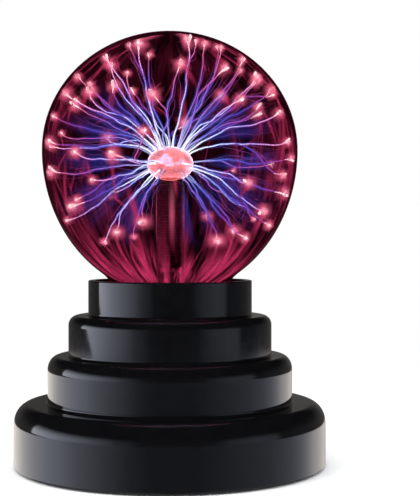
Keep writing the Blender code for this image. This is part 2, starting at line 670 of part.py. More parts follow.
def transformer():
    x, y = CORE_CENTRE
    bottom = PART_BOTTOM
    top = bottom + CORE_HEIGHT
    core = block(
        "transformer_core", FERRITE,
        (x - CORE_HALF_X, y - CORE_HALF_Y, bottom), (x + CORE_HALF_X, y + CORE_HALF_Y, top),
    )
    for side in (-1, 1):
        across = sorted((x + side * CORE_LEG_HALF_X, x + side * (CORE_HALF_X - CORE_LEG)))
        window = block(
            f"core_window_{'left' if side < 0 else 'right'}", FERRITE,
            (across[0], y - 2 * CORE_HALF_Y, bottom + CORE_LEG),
            (across[1], y + 2 * CORE_HALF_Y, top - CORE_LEG),
        )
        combine(core, window, "DIFFERENCE")
    low = bottom + CORE_LEG + GAP
    high = top - CORE_LEG - GAP
    flange = 1.0 * MM
    hole = math.hypot(CORE_LEG_HALF_X, CORE_HALF_Y) + GAP
    inset = WINDING_R - 1.0 * MM
    outline = [(hole, high), (WINDING_R, high), (WINDING_R, high - flange), (inset, high - flange)]
    outline += [(inset, low + flange), (WINDING_R, low + flange), (WINDING_R, low), (hole, low)]
    winding = turned("transformer_winding", TAPE, outline, 20)
    winding.location = (x, y, 0)


def heat_sink():
    x, y = SINK_CORNER
    across, deep, tall = SINK_SIZE
    sink = block("heat_sink", ALUMINIUM, (x, y, PART_BOTTOM), (x + across, y + deep, PART_BOTTOM + tall))
    for number in range(SINK_SLOTS):
        start = x + SINK_SLOT_START + SINK_SLOT_PITCH * number
        slot = block(
            f"fin_slot_{number + 1}", ALUMINIUM,
            (start, y + SINK_PLATE, PART_BOTTOM - MM),
            (start + SINK_SLOT_WIDTH, y + deep + MM, PART_BOTTOM + tall + MM),
        )
        combine(sink, slot, "DIFFERENCE")


def drive_transistor():
    rise = Vector((0, 0, PART_BOTTOM))
    transistor = block("drive_transistor", BLACK_MATTE, rise + Vector(TRANSISTOR_LOW), rise + Vector(TRANSISTOR_HIGH))
    for number in range(3):
        low = rise + Vector((LEG_FIRST[0] + LEG_PITCH * number, LEG_FIRST[1], 0))
        leg = block(f"transistor_leg_{number + 1}", STEEL, low, low + Vector(LEG_SIZE))
        combine(transistor, leg, "UNION")


def capacitors():
    for number, (x, y, radius, height) in enumerate(CAPACITORS, 1):
        high = PART_BOTTOM + height
        outline = [(0, high), (radius - CAPACITOR_ROUND, high), (radius, high - CAPACITOR_ROUND)]
        outline += [(radius, PART_BOTTOM), (0, PART_BOTTOM)]
        can = turned(f"capacitor_{number}", CAPACITOR_SLEEVE, outline, 14, False)
        can.location = (x, y, 0)


def resistors():
    upper = [(0, RESISTOR_END[1]), RESISTOR_END, RESISTOR_BULGE, RESISTOR_WAIST]
    outline = upper + [(radius, -height) for radius, height in reversed(upper)]
    for number, y in enumerate(RESISTOR_Y, 1):
        resistor = turned(f"resistor_{number}", RESISTOR_BODY, outline, 10, False)
        resistor.rotation_euler = (0, math.pi / 2, 0)
        resistor.location = (RESISTOR_X, y, PART_BOTTOM + RESISTOR_BULGE[0])


def board_parts():
    """What stands on the board beside the transformer."""
    heat_sink()
    drive_transistor()
    capacitors()
    resistors()


# ---------------------------------------------------------------- switch and inlet
def switch():
    half_x, near, far, half_z = SWITCH_BODY
    body = block("switch_body", STEEL, (-half_x, near, SWITCH_Z - half_z), (half_x, far, SWITCH_Z + half_z))
    stem_x, stem_z = SWITCH_STEM_HALF
    reach = stem_x + SWITCH_TRAVEL / 2 + GAP
    depth = 2.0 * MM
    track = block(
        "switch_track", STEEL,
        (-reach, far - depth - GAP, SWITCH_Z - stem_z - GAP), (reach, far + MM, SWITCH_Z + stem_z + GAP),
    )
    combine(body, track, "DIFFERENCE")
    rest = -SWITCH_TRAVEL / 2
    knob = block(
        "switch_knob", BLACK_MATTE,
        (-stem_x, far - depth, -stem_z), (stem_x, BASE_R - 0.05 * MM, stem_z),
    )
    for number in range(3):
        start = (-1.1 + 0.8 * number) * MM
        groove = block(
            f"knob_groove_{number + 1}", BLACK_MATTE,
            (start, BASE_R - 0.45 * MM, -2 * stem_z), (start + 0.4 * MM, BASE_R + MM, 2 * stem_z),
        )
        groove.parent = knob
        combine(knob, groove, "DIFFERENCE")
    knob.location = (rest, 0, SWITCH_Z)


def power_inlet():
    half_x, half_z = INLET_HALF
    near, far = INLET_SPAN
    low = (-half_x, near, SWITCH_Z - half_z)
    high = (half_x, far, SWITCH_Z + half_z)
    inlet = block("power_inlet", BLACK_MATTE, low, high)
    socket_x, socket_z, depth = INLET_SOCKET
    socket = block(
        "inlet_socket", BLACK_MATTE,
        (-socket_x, far - depth, SWITCH_Z - socket_z), (socket_x, far + MM, SWITCH_Z + socket_z),
    )
    tongue_x, tongue_z = INLET_TONGUE
    tongue = block(
        "inlet_tongue", BLACK_MATTE,
        (-tongue_x, far - depth - MM, SWITCH_Z - tongue_z), (tongue_x, far - 0.8 * MM, SWITCH_Z + tongue_z),
    )
    for piece in (inlet, socket, tongue):
        turn_about_z(piece, INLET_ANGLE)
    combine(inlet, socket, "DIFFERENCE")
    combine(inlet, tongue, "UNION")


# ---------------------------------------------------------------- leads
def place(x, y, z):
    return Vector((x * MM, y * MM, z * MM))


def leads():
    """The insulated wires from the cells, the switch and the inlet to the board, and up to the electrode."""
    high = [place(-7, -9.3, 33), place(-7, -9.2, 38), place(-5.5, -6.5, 42), place(-1.5, -1.5, 45.5)]
    high += [place(0, 0, 49), place(0, 0, 55), place(0, 0, 61.6)]
    lead("high_voltage_lead", LEAD_WHITE, high, 0.9 * MM)
    red = [place(-18, 26.9, 12), place(-18, 29, 14.5), place(-20, 27, 19), place(-20, 24, 22)]
    red.append(place(-20, 19.5, 21))
    lead("battery_lead_red", LEAD_RED, red, 0.6 * MM)
    black = [place(18, 26.9, 12), place(18, 29, 14.5), place(20, 27, 19), place(20, 24, 22)]
    black.append(place(20, 18.5, 21))
    lead("battery_lead_black", LEAD_BLACK, black, 0.6 * MM)
    wire = [place(-4, 37.6, 9.5), place(-4, 33.5, 10.5), place(-6, 30, 16), place(-8, 27, 21)]
    wire.append(place(-9, 20, 21))
    lead("switch_lead", LEAD_WHITE, wire, 0.6 * MM)
    angle = math.radians(90 + INLET_ANGLE)
    back = INLET_SPAN[0] / MM
    x, y = back * math.cos(angle), back * math.sin(angle)
    wire = [place(x * 0.985, y * 0.985, 9), place(x * 0.88, y * 0.88, 10), place(12, 31, 16)]
    wire += [place(8, 27, 21), place(6, 20, 21)]
    lead("inlet_lead", LEAD_RED, wire, 0.6 * MM)


base_housing()
globe()
electrode()
globe_seat()
bottom_cover()
battery_door()
feet()
screws()
cells()
contact_plates()
circuit_board()
transformer()
board_parts()
switch()
power_inlet()
leads()
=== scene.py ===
"""The looks of the plasma ball: black gloss base, smoked globe, lit electrode and its streamers.

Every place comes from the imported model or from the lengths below, in metres.
"""
import math

import bmesh
import bpy
import numpy as np
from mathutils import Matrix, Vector


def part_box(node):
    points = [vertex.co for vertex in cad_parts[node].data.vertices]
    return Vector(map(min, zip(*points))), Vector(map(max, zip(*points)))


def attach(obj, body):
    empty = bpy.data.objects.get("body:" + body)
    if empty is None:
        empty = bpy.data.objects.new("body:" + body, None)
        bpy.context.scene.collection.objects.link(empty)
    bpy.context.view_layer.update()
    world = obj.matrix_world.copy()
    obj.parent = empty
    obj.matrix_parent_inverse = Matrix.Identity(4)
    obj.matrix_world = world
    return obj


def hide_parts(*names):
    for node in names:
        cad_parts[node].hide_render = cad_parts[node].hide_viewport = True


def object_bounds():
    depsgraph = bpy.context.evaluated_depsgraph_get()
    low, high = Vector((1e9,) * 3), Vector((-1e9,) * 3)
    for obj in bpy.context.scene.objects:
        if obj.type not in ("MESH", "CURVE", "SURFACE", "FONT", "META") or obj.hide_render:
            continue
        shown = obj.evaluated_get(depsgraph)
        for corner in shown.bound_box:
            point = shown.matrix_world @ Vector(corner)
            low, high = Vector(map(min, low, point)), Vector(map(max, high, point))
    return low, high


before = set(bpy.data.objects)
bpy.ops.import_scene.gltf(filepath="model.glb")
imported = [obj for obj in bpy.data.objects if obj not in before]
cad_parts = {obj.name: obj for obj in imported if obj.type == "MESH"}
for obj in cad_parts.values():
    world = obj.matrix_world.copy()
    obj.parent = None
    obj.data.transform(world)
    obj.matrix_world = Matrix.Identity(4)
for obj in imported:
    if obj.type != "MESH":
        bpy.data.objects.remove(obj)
cad_low, cad_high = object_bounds()

MM = 0.001

# Base, from the model's box and the tiers' own lengths.
BASE_R = cad_high.x
HOUSING_LOW, HOUSING_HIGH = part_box("base_housing")
TIER_WALL_R = (BASE_R, 38.5 * MM, 32.0 * MM, 25.8 * MM)
TIER_TOPS = (19.7 * MM, 34.4 * MM, 47.0 * MM, HOUSING_HIGH.z)
SHOULDERS = ((4.9 * MM, 6.2 * MM), (3.2 * MM, 4.4 * MM), (2.8 * MM, 3.0 * MM))
FILLET = 0.7 * MM
RIM_ROUND = 0.4 * MM
HOLD = 0.12 * MM
WALL = 2.0 * MM
LEDGE = (13.3 * MM, 44.9 * MM, 46.7 * MM)
SWITCH_POCKET = (7.6 * MM, 4.0 * MM, 1.2 * MM)
SWITCH_WINDOW = (4.0 * MM, 1.7 * MM)
INLET_WINDOW = (4.9 * MM, 2.7 * MM)
INLET_ANGLE = math.radians(-24)
BACK_Z = 9.2 * MM

# Glass.
GLOBE_LOW, GLOBE_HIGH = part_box("globe")
GLOBE_R = GLOBE_HIGH.x
GLOBE_EQUATOR = 98.8 * MM
GLOBE_UP = GLOBE_HIGH.z - GLOBE_EQUATOR
GLOBE_DOWN = 45.7 * MM
GLOBE_WALL = 0.3 * MM
NECK_R = 18.6 * MM
NECK_TOP = 55.6 * MM
NECK_JOIN_R = 21.6 * MM
TUBE_LOW, TUBE_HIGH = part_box("electrode_tube")
BULB_R = 7.3 * MM
BULB_HALF = 5.55 * MM
BULB_CENTRE = TUBE_HIGH.z - BULB_HALF
BULB_WALL = 0.25 * MM
WOOL_INSET = 0.36 * MM
FIBRE_INSET = 0.34 * MM
STEM_R = 4.25 * MM
FLARE_TOP = 60.0 * MM

# Where the light on the globe's inside begins and ends, and how far a thread's foot stays off the glass.
LIGHT_LOW = 57.0 * MM
LIGHT_HIGH = GLOBE_HIGH.z - 4 * MM
FOOT_INSET = GLOBE_WALL + 0.9 * MM
TRACE_HALF = 0.22 * MM

# Camera.
CAMERA_DISTANCE = 366 * MM
CAMERA_HEIGHT = 70.1 * MM
CAMERA_YAW = math.radians(1.97)
CAMERA_PITCH = math.radians(0.31)
CAMERA_LENS = 83.9

# How much light one wall of the globe lets through, and how bright a light inside has to be to look full.
SMOKE = (0.20, 0.20, 0.20)
LIT = 5.0

RNG = np.random.default_rng(11)


def srgb(*channels):
    """A colour given as 0 to 255 the way a screen shows it."""
    return tuple((c / 255 / 12.92) if c < 10.3 else ((c / 255 + 0.055) / 1.055) ** 2.4 for c in channels)


# The gas where it clings to the globe and to the bulb: its colour, and its glow per metre of glass.
CRIMSON = srgb(235, 60, 105)
RIM_GLOW = 14.0
BULB_RIM = srgb(255, 200, 225)
BULB_GLOW = 3800.0


# ---------------------------------------------------------------- node helpers
def new_material(name):
    made = bpy.data.materials.new(name)
    made.use_nodes = True
    made.node_tree.nodes.clear()
    return made, made.node_tree.nodes, made.node_tree.links


def surface(made, shader):
    nodes = made.node_tree.nodes
    out = nodes.new("ShaderNodeOutputMaterial")
    made.node_tree.links.new(shader, out.inputs["Surface"])
    return made


def emission(nodes, links, colour, strength):
    light = nodes.new("ShaderNodeEmission")
    light.inputs["Strength"].default_value = strength
    links.new(colour, light.inputs["Color"])
    return light.outputs["Emission"]


def mixed(nodes, links, share, first, second):
    """The first shader or, by a share from 0 to 1, the second."""
    mix = nodes.new("ShaderNodeMixShader")
    links.new(share, mix.inputs["Fac"])
    links.new(first, mix.inputs[1])
    links.new(second, mix.inputs[2])
    return mix.outputs["Shader"]


def object_noise(nodes, links, scale, detail=3.0, stretch=(1, 1, 1)):
    """Noise in the object's own coordinates; scale is in waves per metre."""
    coords = nodes.new("ShaderNodeTexCoord")
    mapping = nodes.new("ShaderNodeMapping")
    mapping.inputs["Scale"].default_value = stretch
    noise = nodes.new("ShaderNodeTexNoise")
    noise.inputs["Scale"].default_value = scale
    noise.inputs["Detail"].default_value = detail
    links.new(coords.outputs["Object"], mapping.inputs["Vector"])
    links.new(mapping.outputs["Vector"], noise.inputs["Vector"])
    return noise.outputs["Fac"]


def ranged(nodes, links, value, low, high, start=0.3, end=0.7, way="LINEAR"):
    """The value moved from start..end to low..high, held at both ends."""
    node = nodes.new("ShaderNodeMapRange")
    node.interpolation_type = way
    node.inputs["From Min"].default_value = start
    node.inputs["From Max"].default_value = end
    node.inputs["To Min"].default_value = low
    node.inputs["To Max"].default_value = high
    links.new(value, node.inputs["Value"])
    return node.outputs["Result"]


def blended(nodes, links, value, first, second):
    """A colour between two, by a value from 0 to 1."""
    mix = nodes.new("ShaderNodeMix")
    mix.data_type = "RGBA"
    mix.inputs["A"].default_value = (*first, 1)
    mix.inputs["B"].default_value = (*second, 1)
    links.new(value, mix.inputs["Factor"])
    return mix.outputs["Result"]


def bump(nodes, links, value, strength, distance, under=None):
    node = nodes.new("ShaderNodeBump")
    node.inputs["Strength"].default_value = strength
    node.inputs["Distance"].default_value = distance
    links.new(value, node.inputs["Height"])
    if under:
        links.new(under, node.inputs["Normal"])
    return node.outputs["Normal"]


def colour_ramp(nodes, links, value, stops):
    """A colour that follows the stops, each a place from 0 to 1 and a colour."""
    ramp = nodes.new("ShaderNodeValToRGB")
    while len(ramp.color_ramp.elements) < len(stops):
        ramp.color_ramp.elements.new(0.5)
    for element, (at, colour) in zip(ramp.color_ramp.elements, stops):
        element.position = at
        element.color = (*colour, 1)
    links.new(value, ramp.inputs["Fac"])
    return ramp.outputs["Color"]


def moulded(name, dark, light, rough, grain, depth, metallic=0.0, stretch=(1, 1, 1), wave=0.0):
    """A solid material with mottled colour, uneven roughness and a fine grain in its surface.

    The grain is in waves per metre; wave is the depth of a slower unevenness under it.
    """
    made, nodes, links = new_material(name)
    shader = nodes.new("ShaderNodeBsdfPrincipled")
    shader.inputs["Metallic"].default_value = metallic
    mottle = object_noise(nodes, links, grain * 0.12, 4.0, stretch)
    colour = blended(nodes, links, ranged(nodes, links, mottle, 0, 1), dark, light)
    links.new(colour, shader.inputs["Base Color"])
    links.new(ranged(nodes, links, mottle, rough[0], rough[1]), shader.inputs["Roughness"])
    fine = object_noise(nodes, links, grain, 2.0, stretch)
    normal = bump(nodes, links, fine, 0.5, depth)
    if wave:
        normal = bump(nodes, links, object_noise(nodes, links, 45, 1.0), 0.6, wave, normal)
    links.new(normal, shader.inputs["Normal"])
    return surface(made, shader.outputs["BSDF"])


def glass(name, tint, ior, glow_colour=None, glow_strength=0.0, glow_above=0.0):
    """Clear or tinted glass, which may glow inside itself where gas clings to it, above a height."""
    made, nodes, links = new_material(name)
    shader = nodes.new("ShaderNodeBsdfPrincipled")
    shader.inputs["Base Color"].default_value = (*tint, 1)
    shader.inputs["Roughness"].default_value = 0.0
    shader.inputs["IOR"].default_value = ior
    shader.inputs["Transmission Weight"].default_value = 1.0
    surface(made, shader.outputs["BSDF"])
    if glow_colour:
        inside = nodes.new("ShaderNodeEmission")
        inside.inputs["Color"].default_value = (*glow_colour, 1)
        inside.inputs["Strength"].default_value = glow_strength
        if glow_above:
            coords = nodes.new("ShaderNodeTexCoord")
            split = nodes.new("ShaderNodeSeparateXYZ")
            links.new(coords.outputs["Object"], split.inputs["Vector"])
            above = calculation(nodes, links, "GREATER_THAN", (split.outputs["Z"], glow_above))
            strength = calculation(nodes, links, "MULTIPLY", (above, glow_strength))
            links.new(strength, inside.inputs["Strength"])
        out = next(node for node in nodes if node.type == "OUTPUT_MATERIAL")
        links.new(inside.outputs["Emission"], out.inputs["Volume"])
    return made


def reach_ramp(nodes, links, stops):
    """A colour by the distance from the electrode's centre; stops are (millimetres, colour)."""
    coords = nodes.new("ShaderNodeTexCoord")
    apart = nodes.new("ShaderNodeVectorMath")
    apart.operation = "DISTANCE"
    apart.inputs[1].default_value = (0, 0, BULB_CENTRE)
    links.new(coords.outputs["Object"], apart.inputs[0])
    most = stops[-1][0]
    share = calculation(nodes, links, "DIVIDE", (apart.outputs["Value"], most * MM))
    return colour_ramp(nodes, links, share, [(at / most, colour) for at, colour in stops])


def glowing_core(name, stops, strength):
    """A solid lit thread whose colour changes on its way out to the glass."""
    made, nodes, links = new_material(name)
    made.cycles.emission_sampling = "NONE"
    return surface(made, emission(nodes, links, reach_ramp(nodes, links, stops), strength))


def glow(name, stops, strength, opacity, wisps=0.0, ends=0.12, profile="bell", grain=(7.0, 1.1)):
    """Light that fades out across a ribbon and at its ends, by the ribbon's own UVs, in streaks along it."""
    made, nodes, links = new_material(name)
    uv = nodes.new("ShaderNodeUVMap")
    split = nodes.new("ShaderNodeSeparateXYZ")
    links.new(uv.outputs["UV"], split.inputs["Vector"])

    def calc(operation, *values):
        return calculation(nodes, links, operation, values)

    across = calc("FRACT", split.outputs["X"])
    if profile == "edge":
        shape = calc("POWER", calc("SUBTRACT", 1.0, across), 1.8)
    elif profile == "mist":
        shape = 1.0
    else:
        shape = bell(calc, across, 2.2)
    along = split.outputs["Y"]
    if profile == "round":
        fade = bell(calc, along, 2.2)
    elif profile == "mist":
        fade = mist_by_height(nodes, links, along)
    else:
        fade = calc("DIVIDE", calc("MINIMUM", along, calc("SUBTRACT", 1.0, along)), ends)
        fade = calc("POWER", calc("MAXIMUM", calc("MINIMUM", fade, 1.0), 0.0), 1.4)
    amount = calc("MULTIPLY", shape, fade)
    if wisps:
        mapping = nodes.new("ShaderNodeMapping")
        mapping.inputs["Scale"].default_value = (*grain, 1.0)
        noise = nodes.new("ShaderNodeTexNoise")
        noise.inputs["Scale"].default_value = 1.0
        noise.inputs["Detail"].default_value = 3.0
        links.new(uv.outputs["UV"], mapping.inputs["Vector"])
        links.new(mapping.outputs["Vector"], noise.inputs["Vector"])
        streaked = ranged(nodes, links, noise.outputs["Fac"], 1.0 - wisps, 1.0, 0.46, 0.68)
        amount = calc("MULTIPLY", amount, streaked)
    amount = calc("MULTIPLY", amount, opacity)
    light = emission(nodes, links, reach_ramp(nodes, links, stops), strength)
    clear = nodes.new("ShaderNodeBsdfTransparent").outputs["BSDF"]
    made.cycles.emission_sampling = "NONE"
    return surface(made, mixed(nodes, links, amount, clear, light))


def mist_by_height(nodes, links, along):
    """How thick the light lies on the glass, from the neck (0) to the top (1)."""
    stops = ((0.0, 1.0), (0.05, 0.66), (0.12, 0.30), (0.22, 0.12), (0.34, 0.04), (0.8, 0.02),
             (0.95, 0.08), (1.0, 0.0))
    return colour_ramp(nodes, links, along, [(at, (amount,) * 3) for at, amount in stops])


def calculation(nodes, links, operation, values):
    """A Math node fed with numbers or sockets."""
    node = nodes.new("ShaderNodeMath")
    node.operation = operation
    for socket, value in zip(node.inputs, values):
        if isinstance(value, (int, float)):
            socket.default_value = value
        else:
            links.new(value, socket)
    return node.outputs["Value"]


def bell(calc, value, power):
    """One at a value of a half and nothing at 0 and 1."""
    centred = calc("MULTIPLY_ADD", value, 2.0, -1.0)
    height = calc("SUBTRACT", 1.0, calc("MULTIPLY", centred, centred))
    return calc("POWER", calc("MAXIMUM", height, 0.0), power)


# ---------------------------------------------------------------- mesh helpers
def link_mesh(name, mesh, finish, smooth=True, sharp=35.0):
    mesh.materials.append(finish)
    if smooth:
        mesh.shade_smooth()
        mesh.set_sharp_from_angle(angle=math.radians(sharp))
    made = bpy.data.objects.new(name, mesh)
    bpy.context.scene.collection.objects.link(made)
    return made


def mesh_of(bm, name):
    """Ends the editing of bm and gives it as a mesh."""
    mesh = bpy.data.meshes.new(name)
    bm.to_mesh(mesh)
    bm.free()
    return mesh


def turned(name, outline, segments, finish, closed=True, sharp=35.0):
    """Spins an outline of (radius, height) points about Z."""
    bm = bmesh.new()
    points = [bm.verts.new((radius, 0.0, height)) for radius, height in outline]
    pairs = list(zip(points, points[1:]))
    if closed:
        pairs.append((points[-1], points[0]))
    edges = [bm.edges.new(pair) for pair in pairs]
    bmesh.ops.spin(
        bm, geom=points + edges, cent=(0, 0, 0), axis=(0, 0, 1),
        angle=math.tau, steps=segments, use_merge=True,
    )
    bmesh.ops.remove_doubles(bm, verts=bm.verts, dist=1e-6)
    bmesh.ops.recalc_face_normals(bm, faces=bm.faces)
    return link_mesh(name, mesh_of(bm, name), finish, sharp=sharp)


def arc(centre, radii, start, end, steps):
    """Points on an ellipse's arc, in degrees, both ends included."""
    points = []
    for step in range(steps + 1):
        angle = math.radians(start + (end - start) * step / steps)
        across = centre[0] + radii[0] * math.cos(angle)
        points.append((across, centre[1] + radii[1] * math.sin(angle)))
    return points


def cut_box(target, half, middle, angle=0.0):
    """Cuts a box, given by its half sizes and middle and turned about Z, out of the target."""
    bm = bmesh.new()
    bmesh.ops.create_cube(bm, size=2.0)
    for vert in bm.verts:
        local = Vector((vert.co.x * half[0], vert.co.y * half[1], vert.co.z * half[2])) + Vector(middle)
        x, y = local.x, local.y
        across = x * math.cos(angle) - y * math.sin(angle)
        vert.co = (across, x * math.sin(angle) + y * math.cos(angle), local.z)
    cutter = bpy.data.objects.new("cutter", mesh_of(bm, "cutter"))
    bpy.context.scene.collection.objects.link(cutter)
    modifier = target.modifiers.new("cut", "BOOLEAN")
    modifier.operation = "DIFFERENCE"
    modifier.solver = "EXACT"
    modifier.object = cutter
    bpy.context.view_layer.update()
    evaluated = target.evaluated_get(bpy.context.evaluated_depsgraph_get())
    result = bpy.data.meshes.new_from_object(evaluated)
    target.modifiers.clear()
    old = target.data
    target.data = result
    bpy.data.meshes.remove(old)
    bpy.data.objects.remove(cutter, do_unlink=True)


def unit(vector):
    return vector / np.maximum(np.linalg.norm(vector, axis=-1, keepdims=True), 1e-12)


class Strips:
    """Collects tubes and ribbons into one mesh, with UVs across and along."""

    def __init__(self):
        self.points = []
        self.faces = []
        self.uvs = []
        self.count = 0
        self.column = 0

    def grid(self, rows, wrap=False):
        """rows is an array of (along, across, 3) points."""
        along, across = rows.shape[:2]
        self.points.append(rows.reshape(-1, 3))
        last = across if wrap else across - 1
        for i in range(along - 1):
            for j in range(last):
                after = (j + 1) % across
                corners = (i * across + j, i * across + after, (i + 1) * across + after, (i + 1) * across + j)
                self.faces.append([self.count + c for c in corners])
                low, high = self.column + j / last, self.column + (j + 1) / last
                self.uvs += [(low, i / (along - 1)), (high, i / (along - 1))]
                self.uvs += [(high, (i + 1) / (along - 1)), (low, (i + 1) / (along - 1))]
        self.count += along * across
        self.column += 1

    def tube(self, path, radii, sides=6):
        side, other = sideways(path)
        turns = np.linspace(0, math.tau, sides, endpoint=False)
        ring = side[:, None] * np.cos(turns)[None, :, None] + other[:, None] * np.sin(turns)[None, :, None]
        self.grid(path[:, None] + ring * radii[:, None, None], wrap=True)
        for end, order in ((0, -1), (len(path) - 1, 1)):
            first = self.count - len(path) * sides + end * sides
            cap = [first + k for k in range(sides)][::order]
            self.faces.append(cap)
            self.uvs += [(0.5, end / (len(path) - 1))] * sides

    def ribbon(self, path, half_widths, direction, across=5):
        """A flat strip along the path, widened along the direction given at each point."""
        steps = np.linspace(-1, 1, across)
        self.grid(path[:, None] + direction[:, None] * (half_widths[:, None] * steps[None])[..., None])

    def card(self, line, half, direction):
        """A small flat strip whose corners are kept inside the globe's wall."""
        steps = np.linspace(-1, 1, 5)
        self.grid(hold_inside(line[:, None] + direction * (half * steps[None])[..., None]))

    def make(self, name, finish):
        points = np.concatenate(self.points)
        mesh = bpy.data.meshes.new(name)
        mesh.from_pydata(points.tolist(), [], self.faces)
        layer = mesh.uv_layers.new(name="UVMap")
        layer.data.foreach_set("uv", np.array(self.uvs, dtype=np.float32).ravel())
        mesh.validate()
        return link_mesh(name, mesh, finish, sharp=80.0)


def sideways(path):
    """Two directions square to the path at each of its points, turning as little as they can."""
    tangents = unit(np.gradient(path, axis=0))
    side = np.cross(tangents[0], [0.0, 0.0, 1.0])
    if np.linalg.norm(side) < 0.1:
        side = np.cross(tangents[0], [1.0, 0.0, 0.0])
    sides = []
    for tangent in tangents:
        side = side - tangent * np.dot(side, tangent)
        side = unit(side)
        sides.append(side)
    sides = np.array(sides)
    return sides, np.cross(tangents, sides)


# ---------------------------------------------------------------- base
def housing_outline():
    """The stepped shell's outline: up the outside, tier by tier, and down the inside."""
    outer = [(BASE_R, HOUSING_LOW.z + 0.3 * MM)]
    outer.insert(0, (BASE_R - 0.3 * MM, HOUSING_LOW.z))
    for radius, shoulder, top, following in zip(TIER_WALL_R, SHOULDERS, TIER_TOPS, TIER_WALL_R[1:]):
        outer += [(radius, outer[-1][1] + HOLD), (radius, top - shoulder[1] - HOLD)]
        outer += arc((radius - shoulder[0], top - shoulder[1]), shoulder, 0, 90, 18)
        outer += [(radius - shoulder[0] - HOLD, top), (following + FILLET + HOLD, top)]
        outer += arc((following + FILLET, top + FILLET), (FILLET, FILLET), 270, 180, 6)
    collar = TIER_WALL_R[-1]
    outer += [(collar, outer[-1][1] + HOLD), (collar, HOUSING_HIGH.z - RIM_ROUND - HOLD)]
    outer += arc((collar - RIM_ROUND, HOUSING_HIGH.z - RIM_ROUND), (RIM_ROUND, RIM_ROUND), 0, 90, 5)
    hole, ledge_low, ledge_high = LEDGE
    inner = [(collar - WALL + 0.2 * MM, HOUSING_HIGH.z), (collar - WALL, HOUSING_HIGH.z - 0.2 * MM)]
    inner += [(collar - WALL, ledge_high), (hole, ledge_high), (hole, ledge_low)]
    for index in (2, 1, 0):
        radius, shoulder, top = TIER_WALL_R[index] - WALL, SHOULDERS[index], TIER_TOPS[index] - WALL
        inner += reversed(arc((radius - shoulder[0], top - shoulder[1]), shoulder, 0, 90, 5))
        if index:
            inner.append((radius, TIER_TOPS[index - 1] - WALL))
    inner.append((BASE_R - WALL, HOUSING_LOW.z))
    return outer + inner


def housing():
    """The black shell, with the switch's pocket and window and the inlet's window cut in its back."""
    finish = moulded(
        "black_gloss", (0.0020, 0.0020, 0.0024), (0.0032, 0.0032, 0.0036), (0.05, 0.09), 2600, 0.002 * MM,
        wave=0.05 * MM,
    )
    made = turned("housing_shell", housing_outline(), 192, finish)
    half_x, half_z, depth = SWITCH_POCKET
    cut_box(made, (half_x, depth, half_z), (0, BASE_R, BACK_Z))
    cut_box(made, (SWITCH_WINDOW[0], 3 * WALL, SWITCH_WINDOW[1]), (0, BASE_R, BACK_Z))
    cut_box(made, (INLET_WINDOW[0], 3 * WALL, INLET_WINDOW[1]), (0, BASE_R, BACK_Z), INLET_ANGLE)
    made.data.shade_smooth()
    made.data.set_sharp_from_angle(angle=math.radians(35))
    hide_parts("base_housing")
    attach(made, "root")


# ---------------------------------------------------------------- glass
def globe_outline(inset, steps):
    """The globe's outline from the top down to the neck's end, moved in by the inset."""
    join = math.degrees(math.acos(NECK_JOIN_R / GLOBE_R))
    points = arc((0, GLOBE_EQUATOR), (GLOBE_R - inset, GLOBE_UP - inset), 90, 0, steps)
    points[0] = (0.0, GLOBE_EQUATOR + GLOBE_UP - inset)
    points += arc((0, GLOBE_EQUATOR), (GLOBE_R - inset, GLOBE_DOWN - inset), 0, -join, steps)[1:]
    last, before = points[-1], points[-2]
    slope = (last[0] - before[0]) / (last[1] - before[1])
    neck = NECK_R - inset
    low = NECK_TOP - 0.6 * inset
    for step in range(1, 9):
        t = step / 8
        keep = (1 - t) ** 2
        bend = 2 * t * (1 - t)
        corner_z = last[1] - (last[0] - neck) / slope
        height = keep * last[1] + bend * max(corner_z, low + 1 * MM) + t * t * low
        points.append((keep * last[0] + bend * neck + t * t * neck, height))
    points.append((neck, GLOBE_LOW.z))
    return points


def inner_radius(height, inset):
    """The radius of the globe's inside at a height, less an inset."""
    height = np.asarray(height)
    half = np.where(height > GLOBE_EQUATOR, GLOBE_UP, GLOBE_DOWN) - inset
    share = np.clip((height - GLOBE_EQUATOR) / half, -1, 1)
    return (GLOBE_R - inset) * np.sqrt(1 - share**2)


def globe():
    """The smoked globe, with the gas glowing along its wall."""
    finish = glass("smoked_glass", SMOKE, 1.004, CRIMSON, RIM_GLOW)
    outline = globe_outline(0.0, 40) + list(reversed(globe_outline(GLOBE_WALL, 40)))
    made = turned("globe_glass", outline, 128, finish, closed=False, sharp=60)
    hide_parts("globe")
    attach(made, "root")


def stem_outline(inset, steps):
    """The inner tube's outline from the bulb's top down to the flared foot, moved in by the inset."""
    stem = STEM_R - inset
    bulb = (BULB_R - inset, BULB_HALF - inset)
    meet = math.degrees(math.acos(stem / bulb[0]))
    points = arc((0, BULB_CENTRE), bulb, 90, -meet, steps)
    points[0] = (0.0, BULB_CENTRE + bulb[1])
    low = TUBE_LOW.z
    points += [(stem, points[-1][1] - 1.2 * MM), (stem, FLARE_TOP)]
    flare_r = TUBE_HIGH.x
    for step in range(1, 13):
        t = step / 12
        radius = stem + (flare_r - stem) * t**2.2
        height = FLARE_TOP + (low + 0.8 * MM - inset * 1.06 - FLARE_TOP) * (1 - (1 - t) ** 2.2)
        points.append((radius, height))
    return points


def electrode():
    """The inner tube: clear glass, with the gas glowing where it clings to the bulb."""
    glow_from = BULB_CENTRE - BULB_HALF * 0.8
    clear = glass("electrode_glass", (0.96, 0.92, 0.94), 1.02, BULB_RIM, BULB_GLOW, glow_from)
    outline = stem_outline(0.0, 24) + list(reversed(stem_outline(BULB_WALL, 24)))
    tube = turned("electrode_glass_tube", outline, 64, clear, closed=False, sharp=60)
    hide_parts("electrode_tube")
    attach(tube, "root")
    wool()
    fibres()
    coil()
    stem_liner()


